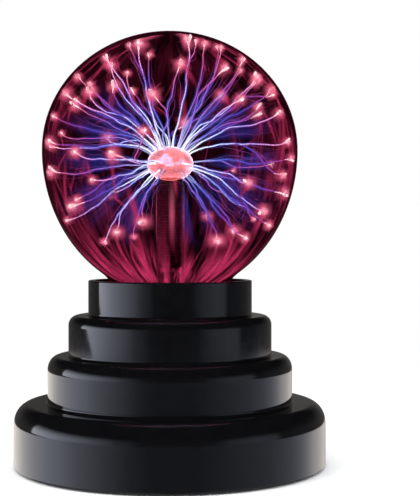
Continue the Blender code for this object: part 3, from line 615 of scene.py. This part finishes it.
def wool():
    """The crumpled filling of the bulb, with the gas light on it painted in as glow: coral, with deep red
    patches of painted shade and lilac patches.
    """
    bm = bmesh.new()
    bmesh.ops.create_icosphere(bm, subdivisions=6, radius=1.0)
    half = Vector((BULB_R, BULB_R, BULB_HALF)) - Vector((1, 1, 1)) * WOOL_INSET
    for vert in bm.verts:
        x, y, z = vert.co * 4.0
        crumple = 0.975 + 0.01 * math.sin(x + 2 * y) * math.cos(2 * z - x) + 0.012 * math.sin(5 * y + 3 * z)
        crumple += 0.006 * math.sin(11 * x + 7 * z) * math.cos(9 * y)
        vert.co = Vector((vert.co.x * half.x, vert.co.y * half.y, vert.co.z * half.z)) * crumple
        vert.co.z += BULB_CENTRE
    mesh = mesh_of(bm, "wool_painted_glow")
    finish, nodes, links = new_material("wool_painted_glow")
    # The wool is no lamp: its glow is painted light standing in for the gas light around the bulb, and the
    # deep red patches are painted shade.
    glow_and_shade_blotch = object_noise(nodes, links, 230, 1.0)
    glow_and_shade_colours = ((0.34, srgb(110, 10, 28)), (0.41, srgb(184, 44, 52)), (0.47, srgb(228, 86, 74)),
               (0.58, srgb(233, 100, 86)), (0.68, srgb(238, 204, 248)))
    surface(finish, emission(nodes, links, colour_ramp(nodes, links, glow_and_shade_blotch, glow_and_shade_colours), 0.95 * LIT))
    made = link_mesh("wool_painted_glow", mesh, finish, sharp=180)
    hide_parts("electrode_wool")
    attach(made, "root")


def fibres():
    """Fine strands that lie on the wool in every direction, their lit look painted in as glow."""
    strips = Strips()
    size = np.array((BULB_R, BULB_R, BULB_HALF)) - FIBRE_INSET
    for _ in range(80):
        first = unit(RNG.normal(0, 1, 3))
        second = unit(np.cross(first, RNG.normal(0, 1, 3)))
        sweep = np.linspace(0, RNG.uniform(1.2, 3.4), 26)[:, None]
        wave = 0.10 * np.sin(5 * sweep + RNG.uniform(0, 6))
        ball = unit(first * np.cos(sweep) + second * np.sin(sweep) + wave)
        path = ball * size + (0, 0, BULB_CENTRE)
        strips.tube(path, np.full(len(path), RNG.uniform(0.02, 0.05) * MM), 5)
    # The fibres are no lamp: their glow is painted light.
    finish = glowing_core("fibre_painted_glow", ((4, srgb(245, 130, 130)), (9, srgb(250, 165, 165))), LIT)
    made = strips.make("wool_fibres", finish)
    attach(made, "root")


def coil():
    """The fine coil that lines the stem, seen as dots down its two edges."""
    low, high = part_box("electrode_coil")
    turns = 29
    radius, wire = STEM_R - 0.5 * MM, 0.2 * MM
    t = np.linspace(0, 1, turns * 20 + 1)
    angle = t * turns * math.tau
    height = low.z + wire + (high.z - low.z - 2 * wire) * t
    path = np.stack([radius * np.cos(angle), radius * np.sin(angle), height], axis=1)
    strips = Strips()
    strips.tube(path, np.full(len(path), wire), 6)
    finish = moulded(
        "coil_wire", (0.10, 0.03, 0.06), (0.3, 0.12, 0.2), (0.3, 0.5), 3000, 0.001 * MM, metallic=1.0,
    )
    made = strips.make("stem_coil", finish)
    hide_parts("electrode_coil")
    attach(made, "root")


def stem_liner():
    """The dark former that the coil is wound on."""
    low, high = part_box("electrode_coil")
    radius, chamfer = STEM_R - 0.95 * MM, 0.5 * MM
    top, foot = high.z + 0.8 * MM, low.z - chamfer
    outline = [(0.0, top), (radius - chamfer, top), (radius, top - chamfer)]
    outline += [(radius, low.z), (radius - chamfer, foot), (0.0, foot)]
    finish = moulded(
        "coil_former", (0.010, 0.003, 0.006), (0.024, 0.007, 0.014), (0.35, 0.6), 2500, 0.01 * MM,
    )
    made = turned("stem_former", outline, 40, finish, closed=False)
    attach(made, "root")


# ---------------------------------------------------------------- streamers
# Colours of the threads by kind: each stop is a distance from the bulb's middle in millimetres and a colour.
CORE_STOPS = {
    "white": ((6, srgb(235, 240, 255)), (18, srgb(200, 208, 252)), (28, srgb(186, 160, 236)),
              (36, srgb(232, 150, 205)), (41, srgb(255, 190, 205))),
    "violet": ((6, srgb(200, 212, 255)), (16, srgb(112, 122, 240)), (28, srgb(112, 84, 222)),
               (37, srgb(205, 90, 180)), (41, srgb(250, 130, 160))),
    "pink": ((6, srgb(212, 200, 255)), (18, srgb(172, 130, 230)), (28, srgb(212, 100, 185)),
             (36, srgb(250, 120, 155)), (41, srgb(255, 190, 200))),
}
CORE_R = {"white": 0.19 * MM, "violet": 0.12 * MM, "pink": 0.13 * MM}

# Streamers by where their foot stands on the glass, seen from the electrode: the angle round from the front
# towards +X, the angle up, the bow, and the kind of thread.
STREAMERS = (
    (-52, 51, 0.10, "white"), (-88, 76, -0.22, "white"), (7, 44, 0.10, "pink"),
    (25, 74, -0.12, "white"), (85, 74, 0.18, "pink"), (88, 68, 0.40, "violet"),
    (78, 55, -0.12, "pink"), (60, 40, 0.08, "white"), (36, 26, 0.20, "white"),
    (84, 36, -0.15, "violet"), (66, 22, 0.20, "white"), (70, 9, -0.22, "white"),
    (86, 3, 0.15, "violet"), (55, -24, 0.20, "white"), (38, -11, -0.18, "white"),
    (84, -14, 0.12, "violet"), (28, -40, 0.12, "violet"), (50, -38, -0.12, "violet"),
    (-30, -35, -0.20, "white"), (-38, -10, 0.22, "white"), (-60, -22, 0.15, "violet"),
    (-27, 1, 0.20, "white"), (-47, 3, -0.15, "white"), (-85, 10, -0.15, "violet"),
    (-52, 26, 0.30, "white"), (-43, 30, -0.18, "white"), (-86, 34, 0.12, "violet"),
    (-9, 27, 0.2, "pink"), (-23, 38, 0.15, "pink"), (57, 62, 0.12, "pink"),
    (34, 43, -0.2, "pink"), (-72, 41, 0.15, "pink"), (-88, -4, 0.12, "pink"),
    (-76, 21, 0.15, "violet"), (-14, -30, 0.1, "pink"), (70, -31, -0.15, "violet"),
)
# Broad veils of blue light between the threads: the angle round, the angle up and the greatest half width.
VEILS = (
    (88, 2, 7.0), (76, -13, 6.0), (96, -24, 6.0), (34, -42, 5.0), (62, -34, 5.0),
    (-88, 4, 6.0), (-58, -16, 5.0), (-78, -22, 6.0), (-50, 36, 4.5), (56, 34, 5.0),
    (-24, -44, 4.0), (100, 22, 5.0), (-100, 24, 5.0),
)


def way_out(azimuth, elevation):
    """The direction at an angle round from the front towards +X and an angle up."""
    a, e = math.radians(azimuth), math.radians(elevation)
    return np.array([math.sin(a) * math.cos(e), -math.cos(a) * math.cos(e), math.sin(e)])


def foot_on_glass(way, inset):
    """Where a straight line from the electrode's centre meets the inside of the globe."""
    near, far = 0.0, 0.06
    for _ in range(30):
        middle = (near + far) / 2
        point = way * middle + (0, 0, BULB_CENTRE)
        in_height = abs(point[2] - GLOBE_EQUATOR) < GLOBE_DOWN
        if in_height and np.hypot(*point[:2]) < inner_radius(point[2], inset):
            near = middle
        else:
            far = middle
    return way * near + (0, 0, BULB_CENTRE)


def curve_between(points, steps):
    """A smooth cubic through four control points."""
    t = np.linspace(0, 1, steps)[:, None]
    first, second, third, fourth = points
    return (1 - t) ** 3 * first + 3 * (1 - t) ** 2 * t * second + 3 * (1 - t) * t**2 * third + t**3 * fourth


def wandering(path, side, over, size):
    """Adds a slow wander and a finer shiver that die away at both ends."""
    t = np.linspace(0, 1, len(path))[:, None]
    moved = np.zeros_like(path)
    for waves, share in ((1.3, 0.9), (3.1, 0.34), (7.3, 0.11)):
        phase = RNG.uniform(0, math.tau, 2)
        moved += size * share * side * np.sin(waves * math.tau * t + phase[0])
        moved += size * share * over * np.sin(waves * 5.3 * t + phase[1])
    return path + moved * np.sin(math.pi * t) ** 0.7


def streamer(azimuth, elevation, bow, steps=52):
    """A thread's path: it leaves the bulb above or below its middle, rises, and swings over to the glass."""
    way = way_out(azimuth, elevation)
    foot = foot_on_glass(way, FOOT_INSET)
    leave = elevation * 0.62 + 27 if elevation > 6 else elevation * 0.75 + 2
    lean = way_out(azimuth + RNG.uniform(-9, 9), leave + RNG.uniform(-5, 5))
    root = lean * (BULB_R, BULB_R, BULB_HALF) * 0.985 + (0, 0, BULB_CENTRE)
    length = np.linalg.norm(foot - root)
    side = unit(np.cross(way, (0, 0, 1.0)))
    over = np.cross(side, way)
    sign = 1 if RNG.random() < 0.5 else -1
    swing = side * bow * sign + over * abs(bow) * 0.4
    points = (root, root + lean * length * 0.42, foot - unit(way + swing * 3.2) * length * 0.42, foot)
    return wandering(curve_between(points, steps), side, over, 0.6 * MM)


def branch(path, spread):
    """A fork that leaves a thread part of the way out and finds its own foot."""
    start = int(len(path) * RNG.uniform(0.45, 0.68))
    way = unit(path[-1] - (0, 0, BULB_CENTRE))
    turned_way = unit(way + RNG.normal(0, spread, 3))
    foot = foot_on_glass(turned_way, FOOT_INSET)
    forward = unit(path[start + 1] - path[start])
    length = np.linalg.norm(foot - path[start])
    points = (path[start], path[start] + forward * length * 0.45, foot - turned_way * length * 0.35, foot)
    side = unit(np.cross(turned_way, (0, 0, 1.0)))
    return wandering(curve_between(points, 30), side, np.cross(side, turned_way), 0.35 * MM)


def add_thread(light, path, kind, scale=1.0):
    """A thread with its halo, the faint traces of where it was a moment before, and its foot."""
    t = np.linspace(0, 1, len(path))
    radii = CORE_R[kind] * scale * (0.8 + 0.8 * (1 - t) ** 4)
    light[kind].tube(path, radii)
    side, other = sideways(path)
    width = (0.28 + 0.58 * np.sin(math.pi * t) ** 1.2) * MM * scale
    for direction in (side, other):
        light["halos"].ribbon(path, width, direction)
    for _ in range(2):
        turn = RNG.uniform(0, math.tau)
        away = side * math.cos(turn) + other * math.sin(turn)
        trace = path + away * (t[:, None] ** 1.4 * RNG.uniform(1.5, 6.0) * MM)
        trace = hold_inside(wandering(trace, side, other, 0.3 * MM))
        thin = np.full(len(trace), TRACE_HALF)
        across = unit(np.cross(away, np.gradient(trace, axis=0)))
        light["traces"].ribbon(trace, thin, across, 3)
        light["traces"].ribbon(trace, thin, away, 3)
    add_foot(light, path, RNG.uniform(0.55, 1.25) * scale)


def add_foot(light, path, size):
    """Where a thread meets the glass: a hot comet head, a soft ball of light, and a trail down the wall."""
    way = unit(path[-1] - path[-5])
    s = np.linspace(0, 1, 12)
    hook = np.cross(way, RNG.normal(0, 1, 3)) * (s[:, None] ** 2) * 0.9 * MM * size
    head = hold_inside(path[-1] - way * 4.2 * MM * size * (1 - s[:, None]) + hook)
    light["heads"].tube(head, (0.10 + 0.66 * s**1.7 * np.sqrt(np.maximum(1 - s**6, 0.01))) * MM * size, 8)
    side, other = sideways(head)
    centre = path[-1] - way * 1.2 * MM * size
    reach = np.linspace(-1, 1, 7)[:, None] * 3.7 * MM * size
    for along, across in ((side[0], other[0]), (way, side[0]), (way, other[0])):
        line = hold_inside(centre + along * reach)
        light["feet"].card(line, 3.0 * MM * size, across)
        line = hold_inside(path[-1] - way * 0.9 * MM * size + along * reach * 0.45)
        light["hearts"].card(line, 1.45 * MM * size, across)
    add_tail(light["tails"], path[-1], size)


def add_tail(tails, foot, size):
    """A trail of pink light that runs along the inside of the glass from a foot."""
    azimuth = math.atan2(foot[0], -foot[1]) + RNG.normal(0, 0.02)
    length = RNG.uniform(5, 15) * MM * size * (1 if RNG.random() < 0.7 else -1)
    heights = np.linspace(foot[2] + 0.25 * length, foot[2] - length, 12)
    heights = np.clip(heights, LIGHT_LOW + 3 * MM, LIGHT_HIGH)
    slant = np.linspace(0, RNG.normal(0, 0.12), 12)
    wall_strip(tails, azimuth + slant, heights, RNG.uniform(0.8, 1.9) * MM * size)


def wall_strip(strips, azimuths, heights, half):
    """A strip of light that lies along the inside of the glass."""
    radius = inner_radius(heights, GLOBE_WALL + 0.6 * MM)
    path = np.stack([radius * np.sin(azimuths), -radius * np.cos(azimuths), heights], axis=1)
    round_way = np.stack([np.cos(azimuths), np.sin(azimuths), np.zeros(len(heights))], axis=1)
    strips.ribbon(path, np.full(len(heights), half), round_way, 5)


def hold_inside(points):
    """Keeps points a little inside the globe's wall."""
    points = np.array(points)
    points[..., 2] = np.clip(points[..., 2], LIGHT_LOW + 1 * MM, GLOBE_HIGH.z - GLOBE_WALL - 0.4 * MM)
    most = inner_radius(points[..., 2], GLOBE_WALL + 0.35 * MM)
    radius = np.hypot(points[..., 0], points[..., 1])
    shrink = np.minimum(1.0, most / np.maximum(radius, 1e-9))
    points[..., :2] *= shrink[..., None]
    return points


def all_streamers():
    """The listed threads, and a seeded set of the same kind for the side away from the camera."""
    away = []
    for number, (azimuth, elevation, bow, _) in enumerate(STREAMERS):
        if abs(azimuth) < 74:
            turn = 180 + azimuth * 1.15 + RNG.uniform(-10, 10)
            kinds = ("violet", "pink", "white")
            away.append((turn, elevation * 0.9 + RNG.uniform(-7, 7), bow, kinds[number % 3]))
    return list(STREAMERS) + away


def add_veil(veils, azimuth, elevation, most):
    """Two crossed sheets of blue light along a thread's path, at most that many millimetres to each side."""
    path = streamer(azimuth, elevation, RNG.uniform(0.0, 0.3), 26)
    t = np.linspace(0, 1, len(path))
    half = most * MM * (0.14 + 0.86 * np.sin(math.pi * np.clip(t * 0.62, 0, 1)) ** 1.5)
    side, other = sideways(path)
    turn = RNG.uniform(0, math.pi)
    first = side * math.cos(turn) + other * math.sin(turn)
    second = side * math.sin(turn) - other * math.cos(turn)
    spread = half[:, None] * np.linspace(-1, 1, 9)[None]
    for direction in (first, second):
        veils.grid(hold_inside(path[:, None] + direction[:, None] * spread[..., None]))


def add_fins(fins):
    """Curtains of light that stand in from the glass along its meridians."""
    count = 30
    for number in range(count):
        azimuth = math.tau * (number + RNG.uniform(-0.4, 0.4)) / count
        low = RNG.uniform(58, 92) * MM
        high = low + RNG.uniform(14, 46) * MM
        heights = np.linspace(low, min(high, GLOBE_HIGH.z - 3 * MM), 26)
        outer = inner_radius(heights, GLOBE_WALL + 0.25 * MM)
        deep = RNG.uniform(3.0, 10.0) * MM
        radius = outer[:, None] - np.linspace(0, 1, 6)[None, :] * deep
        slant = azimuth + np.linspace(-1, 1, 26)[:, None] * RNG.normal(0, 0.10)
        tall = np.tile(heights[:, None], (1, 6))
        fins.grid(np.stack([radius * np.sin(slant), -radius * np.cos(slant), tall], axis=2))


def add_streaks(streaks):
    """Upright strokes low on the wall, above the collar, and shorter ones all over it."""
    low_count = 46
    for number in range(low_count):
        azimuth = math.tau * (number + RNG.uniform(-0.5, 0.5)) / low_count
        heights = np.linspace(LIGHT_LOW, RNG.uniform(60, 75) * MM, 12)
        slant = azimuth + np.linspace(0, RNG.normal(0, 0.05), 12)
        wall_strip(streaks, slant, heights, RNG.uniform(0.8, 2.8) * MM)
    for number in range(56):
        azimuth = 2.4 * number
        middle = GLOBE_EQUATOR + RNG.uniform(-34, 30) * MM
        tall = RNG.uniform(1.5, 6) * MM
        heights = np.linspace(middle - tall, min(middle + tall, LIGHT_HIGH), 12)
        slant = azimuth + np.linspace(0, RNG.normal(0, 0.16), 12)
        wall_strip(streaks, slant, heights, RNG.uniform(0.5, 1.8) * MM)


def add_mist(mist):
    """Gores of patchy light that together line the whole inside of the glass."""
    gores, across = 24, 5
    heights = np.linspace(LIGHT_LOW, GLOBE_HIGH.z - GLOBE_WALL - 0.3 * MM, 48)
    radius = inner_radius(heights, GLOBE_WALL + 0.2 * MM)
    for number in range(gores):
        azimuths = math.tau * (number + np.linspace(0, 1, across)[None, :]) / gores
        rows = [radius[:, None] * np.sin(azimuths), -radius[:, None] * np.cos(azimuths)]
        rows.append(np.tile(heights[:, None], (1, across)))
        mist.grid(np.stack(rows, axis=2))


def stem_glow(streaks):
    """The soft pink column that hangs below the bulb, round the stem's face."""
    heights = np.linspace(BULB_CENTRE - BULB_HALF + 1.0 * MM, 66 * MM, 16)
    radius = STEM_R + 0.1 * MM
    for number in range(4):
        azimuth = math.tau * number / 4 + 0.12
        x, y = radius * math.sin(azimuth), -radius * math.cos(azimuth)
        path = np.stack([np.full(16, x), np.full(16, y), heights], 1)
        direction = np.tile([math.cos(azimuth), math.sin(azimuth), 0.0], (16, 1))
        streaks.ribbon(path, np.full(16, 1.4 * MM), direction, 5)


# Colours of the softer light, in the same form as CORE_STOPS.
BLUE_STOPS = ((6, srgb(140, 165, 255)), (16, srgb(84, 104, 240)), (28, srgb(98, 74, 212)),
              (36, srgb(190, 70, 170)), (41, srgb(240, 90, 130)))
TRACE_STOPS = ((6, srgb(170, 180, 255)), (18, srgb(120, 110, 235)), (28, srgb(180, 90, 200)),
               (37, srgb(240, 90, 140)), (41, srgb(250, 110, 140)))
VEIL_STOPS = ((7, srgb(80, 96, 215)), (20, srgb(70, 70, 195)), (32, srgb(92, 54, 160)),
              (41, srgb(170, 50, 120)))
PINK_STOPS = ((20, srgb(230, 90, 160)), (41, srgb(250, 100, 138)))
DEEP_STOPS = ((20, srgb(170, 40, 120)), (41, srgb(232, 62, 112)))
STEM_STOPS = ((4, srgb(255, 130, 160)), (28, srgb(200, 50, 100)))
HEART_STOPS = ((30, srgb(255, 160, 185)), (41, srgb(255, 180, 195)))
HEAD_STOPS = ((30, srgb(255, 170, 190)), (38, srgb(255, 215, 220)), (41, srgb(255, 235, 235)))


def plasma():
    """Every light in the gas, gathered by finish."""
    soft = ("halos", "traces", "feet", "hearts", "tails", "veils", "fins", "streaks", "mist", "column")
    light = {name: Strips() for name in ("white", "violet", "pink", "heads", *soft)}
    for number, (azimuth, elevation, bow, kind) in enumerate(all_streamers()):
        path = streamer(azimuth, elevation, bow)
        add_thread(light, path, kind)
        if kind == "white" and number % 2:
            add_thread(light, branch(path, 0.13), "violet" if number % 3 else "pink", 0.8)
    for azimuth, elevation, most in VEILS:
        add_veil(light["veils"], azimuth, elevation, most)
        add_veil(light["veils"], azimuth + 180, elevation, most)
    add_fins(light["fins"])
    add_streaks(light["streaks"])
    add_mist(light["mist"])
    stem_glow(light["column"])
    finishes = {
        "white": glowing_core("thread_white", CORE_STOPS["white"], 1.25 * LIT),
        "violet": glowing_core("thread_violet", CORE_STOPS["violet"], 0.85 * LIT),
        "pink": glowing_core("thread_pink", CORE_STOPS["pink"], 0.95 * LIT),
        "heads": glowing_core("thread_head", HEAD_STOPS, 1.1 * LIT),
        "halos": glow("thread_halo", BLUE_STOPS, 0.95 * LIT, 0.33),
        "traces": glow("thread_trace", TRACE_STOPS, 0.9 * LIT, 0.34, wisps=0.6, ends=0.4),
        "veils": glow("veil", VEIL_STOPS, 0.7 * LIT, 0.30, wisps=0.8, ends=0.3),
        "feet": glow("foot_glow", PINK_STOPS, 1.0 * LIT, 0.55, profile="round"),
        "hearts": glow("foot_heart", HEART_STOPS, 1.1 * LIT, 0.85, profile="round"),
        "tails": glow("wall_trail", DEEP_STOPS, 1.0 * LIT, 0.5, wisps=0.5, profile="round"),
        "fins": glow("wall_curtain", DEEP_STOPS, 0.85 * LIT, 0.48, 1.0, 0.35, "edge"),
        "streaks": glow("wall_streak", DEEP_STOPS, 1.4 * LIT, 0.55, wisps=0.95, ends=0.5),
        "mist": glow("wall_mist", DEEP_STOPS, 1.2 * LIT, 0.60, 1.0, profile="mist", grain=(2.0, 4.0)),
        "column": glow("stem_glow", STEM_STOPS, 1.1 * LIT, 0.7, ends=0.6),
    }
    for name, strips in light.items():
        made = strips.make("plasma_" + name, finishes[name])
        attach(made, "root")


# ---------------------------------------------------------------- the model's own nodes
# Each finish: the starts of its nodes' names, a dark and a light colour, the range of its roughness, its
# grain in waves per metre, the grain's depth and, for some, how metallic it is and the grain's stretch.
FINISHES = {
    "textured_black": (
        ("bottom_cover", "battery_door"),
        (0.010, 0.010, 0.011), (0.020, 0.020, 0.021), (0.42, 0.58), 5200, 0.03 * MM,
    ),
    "knob_black": (
        ("switch_knob",),
        (0.014, 0.014, 0.015), (0.026, 0.026, 0.027), (0.32, 0.45), 6000, 0.02 * MM,
    ),
    "foot_rubber": (
        ("foot_", "electrode_plug"),
        (0.020, 0.020, 0.020), (0.045, 0.044, 0.043), (0.75, 0.95), 3800, 0.04 * MM,
    ),
    "plated_steel": (
        ("cover_screw", "board_screw", "contact_", "switch_body"),
        (0.45, 0.45, 0.47), (0.66, 0.66, 0.68), (0.2, 0.36), 3000, 0.004 * MM, 1.0,
    ),
    "silicone": (("globe_adhesive",), (0.50, 0.50, 0.48), (0.66, 0.66, 0.64), (0.3, 0.5), 900, 0.05 * MM),
    "foam": (("globe_seat_ring",), (0.015, 0.015, 0.015), (0.04, 0.04, 0.04), (0.85, 1.0), 5000, 0.08 * MM),
    "component_black": (
        ("power_inlet", "drive_transistor", "battery_lead_black"),
        (0.012, 0.012, 0.012), (0.03, 0.03, 0.03), (0.4, 0.55), 4500, 0.02 * MM,
    ),
    "lead_white": (
        ("switch_lead", "high_voltage_lead"),
        (0.62, 0.62, 0.60), (0.74, 0.74, 0.72), (0.35, 0.5), 2500, 0.01 * MM,
    ),
    "lead_red": (
        ("battery_lead_red", "inlet_lead"),
        (0.35, 0.01, 0.01), (0.50, 0.02, 0.02), (0.35, 0.5), 2500, 0.01 * MM,
    ),
    "cell_sleeve": (("cell_",), (0.03, 0.05, 0.16), (0.06, 0.08, 0.24), (0.2, 0.3), 1800, 0.004 * MM),
    "capacitor_sleeve": (
        ("capacitor_",),
        (0.008, 0.012, 0.05), (0.02, 0.03, 0.09), (0.25, 0.4), 2200, 0.008 * MM,
    ),
    "resistor_lacquer": (("resistor_",), (0.38, 0.25, 0.13), (0.5, 0.36, 0.2), (0.3, 0.5), 2600, 0.02 * MM),
    "solder_mask": (
        ("circuit_board",),
        (0.008, 0.09, 0.03), (0.02, 0.16, 0.05), (0.25, 0.4), 1500, 0.01 * MM,
    ),
    "ferrite": (("transformer_core",), (0.03, 0.03, 0.033), (0.07, 0.07, 0.075), (0.5, 0.7), 3500, 0.02 * MM),
    "winding_tape": (
        ("transformer_winding",),
        (0.55, 0.36, 0.03), (0.72, 0.5, 0.07), (0.25, 0.4), 1200, 0.02 * MM, 0.0, (1, 1, 6),
    ),
    "heat_sink_metal": (
        ("heat_sink",),
        (0.6, 0.6, 0.62), (0.72, 0.72, 0.74), (0.3, 0.45), 2600, 0.006 * MM, 1.0, (1, 8, 1),
    ),
}


def repaint():
    """Finishes for the nodes that show as they are, or that lie inside."""
    made = {starts: moulded(name, *values) for name, (starts, *values) in FINISHES.items()}
    made[("exhaust_tip",)] = glass("tip_glass", (0.94, 0.9, 0.92), 1.45)
    for name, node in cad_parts.items():
        for starts, finish in made.items():
            if name.startswith(starts):
                node.data.materials.clear()
                node.data.materials.append(finish)


# ---------------------------------------------------------------- studio
# What a polished wall mirrors, by the angle round from the camera's side towards +X: a tall soft box to the
# left and a fainter one to the right, and below them the bright floor and the room behind.
BOX_LIGHT = ((-180, 2.9), (-100, 3.1), (-77, 2.3), (-57, 1.35), (-39, 0.42), (-21, 0.06), (0, 0.03),
             (30, 0.06), (48, 0.38), (67, 0.52), (80, 0.45), (87, 0.06), (150, 0.10), (180, 0.15))
FLOOR_LIGHT = ((-180, 0.4), (-160, 1.3), (-143, 1.85), (-105, 2.1), (-85, 1.9), (-69, 1.3), (-49, 0.72),
               (-30, 0.27), (-15, 0.12), (20, 0.12), (51, 0.32), (72, 0.46), (95, 0.72), (109, 1.05),
               (126, 1.7), (151, 1.3), (165, 0.6), (180, 0.3))
BRIGHTEST = 3.5
FLOOR_R = 1.6


def light_by_angle(nodes, links, angle, stops):
    """A brightness that follows the stops, each an angle in degrees and a brightness up to the brightest."""
    share = calculation(nodes, links, "MULTIPLY_ADD", (angle, 1 / 360, 0.5))
    greys = [(at / 360 + 0.5, (bright / BRIGHTEST,) * 3) for at, bright in stops]
    return calculation(nodes, links, "MULTIPLY", (colour_ramp(nodes, links, share, greys), BRIGHTEST))


def studio_world():
    """White to the camera, dark through glass and soft on matt surfaces.

    A reflection sees a dark room with two soft boxes and a lit floor.
    """
    world = bpy.data.worlds.new("studio")
    world.use_nodes = True
    nodes, links = world.node_tree.nodes, world.node_tree.links
    nodes.clear()

    def calc(operation, *values):
        return calculation(nodes, links, operation, values)

    def step_up(value, start, end):
        return ranged(nodes, links, value, 0.0, 1.0, start, end, "SMOOTHSTEP")

    coords = nodes.new("ShaderNodeTexCoord")
    split = nodes.new("ShaderNodeSeparateXYZ")
    links.new(coords.outputs["Generated"], split.inputs["Vector"])
    x, y, z = split.outputs["X"], split.outputs["Y"], split.outputs["Z"]
    angle = calc("MULTIPLY", calc("ARCTAN2", x, calc("MULTIPLY", y, -1.0)), 180 / math.pi)
    rise = calc("MULTIPLY", calc("ARCSINE", z), 180 / math.pi)
    boxes = light_by_angle(nodes, links, angle, BOX_LIGHT)
    slanted = calc("MULTIPLY_ADD", calc("MINIMUM", rise, -3.0), 8.0, calc("ADD", angle, 24.0))
    edge = step_up(slanted, -118.5, -115.5)
    dim_behind = calc("MULTIPLY_ADD", edge, 0.97, 0.03)
    box_height = calc("SUBTRACT", 1.0, step_up(rise, 2, 24))
    above = calc("MULTIPLY", calc("MULTIPLY", boxes, dim_behind), box_height)
    ground = light_by_angle(nodes, links, angle, FLOOR_LIGHT)
    near = calc("MULTIPLY_ADD", step_up(rise, -34, -13), 0.85, 0.15)
    below = calc("MULTIPLY", ground, near)
    below_share = calc("SUBTRACT", 1.0, step_up(rise, -6.4, -5.2))
    bright = calc("ADD", calc("MULTIPLY", above, calc("SUBTRACT", 1.0, below_share)),
                  calc("MULTIPLY", below, below_share))
    behind = step_up(calc("ABSOLUTE", angle), 95, 140)
    tint = blended(nodes, links, behind, (0.90, 0.95, 1.15), (1.04, 0.98, 0.93))
    path = nodes.new("ShaderNodeLightPath")
    reflected = nodes.new("ShaderNodeBackground")
    links.new(tint, reflected.inputs["Color"])
    links.new(calc("ADD", bright, 0.006), reflected.inputs["Strength"])
    shader = reflected.outputs["Background"]
    for question, colour, strength in (
        ("Is Diffuse Ray", (0.9, 0.92, 0.95), 0.75), ("Is Transmission Ray", (0.02, 0.01, 0.03), 1.0),
        ("Is Camera Ray", (1, 1, 1), 1.0),
    ):
        plain = nodes.new("ShaderNodeBackground")
        plain.inputs["Color"].default_value = (*colour, 1)
        plain.inputs["Strength"].default_value = strength
        shader = mixed(nodes, links, path.outputs[question], shader, plain.outputs["Background"])
    out = nodes.new("ShaderNodeOutputWorld")
    links.new(shader, out.inputs["Surface"])
    bpy.context.scene.world = world


def floor():
    """A round pale table top whose shade runs out into the white around it."""
    bm = bmesh.new()
    bmesh.ops.create_circle(bm, cap_ends=True, radius=FLOOR_R, segments=96)
    mesh = mesh_of(bm, "floor")
    made_material, nodes, links = new_material("pale_floor")
    matte = nodes.new("ShaderNodeBsdfPrincipled")
    matte.inputs["Base Color"].default_value = (0.93, 0.93, 0.93, 1)
    matte.inputs["Roughness"].default_value = 0.6
    matte.inputs["Specular IOR Level"].default_value = 0.1
    white = nodes.new("ShaderNodeEmission")
    coords = nodes.new("ShaderNodeTexCoord")
    reach = nodes.new("ShaderNodeVectorMath")
    reach.operation = "LENGTH"
    links.new(coords.outputs["Object"], reach.inputs[0])
    blend = ranged(nodes, links, reach.outputs["Value"], 0.0, 1.0, 0.07, 0.30)
    surface(made_material, mixed(nodes, links, blend, matte.outputs["BSDF"], white.outputs["Emission"]))
    made = link_mesh("floor", mesh, made_material, smooth=False)
    made.visible_glossy = False
    made.visible_transmission = False


def lights():
    """Three soft lamps for the matt surfaces, kept out of the reflections."""
    for name, place, size, power in (
        ("left_soft", (-0.8, -0.5, 0.9), 0.7, 9.0), ("right_soft", (0.7, -0.7, 0.8), 0.6, 5.0),
        ("top_soft", (0.0, 0.1, 1.1), 0.9, 9.0),
    ):
        light = bpy.data.lights.new(name, "AREA")
        light.shape = "SQUARE"
        light.size = size
        light.energy = power
        made = bpy.data.objects.new(name, light)
        made.location = place
        made.rotation_euler = (Vector((0, 0, 0.03)) - made.location).to_track_quat("-Z", "Y").to_euler()
        made.visible_glossy = False
        bpy.context.scene.collection.objects.link(made)


def camera():
    """The photograph's viewing angle: from in front, at the height of the globe's lower part."""
    data = bpy.data.cameras.new("camera")
    data.lens = CAMERA_LENS
    data.sensor_width = 36.0
    data.clip_start = 0.01
    made = bpy.data.objects.new("camera", data)
    made.location = (0, -CAMERA_DISTANCE, CAMERA_HEIGHT)
    look = Vector((math.sin(CAMERA_YAW), math.cos(CAMERA_YAW), -math.tan(CAMERA_PITCH)))
    made.rotation_euler = look.to_track_quat("-Z", "Y").to_euler()
    bpy.context.scene.collection.objects.link(made)
    bpy.context.scene.camera = made


bpy.context.scene.view_settings.view_transform = "Standard"
camera()
studio_world()
floor()
lights()
housing()
globe()
electrode()
plasma()
repaint()
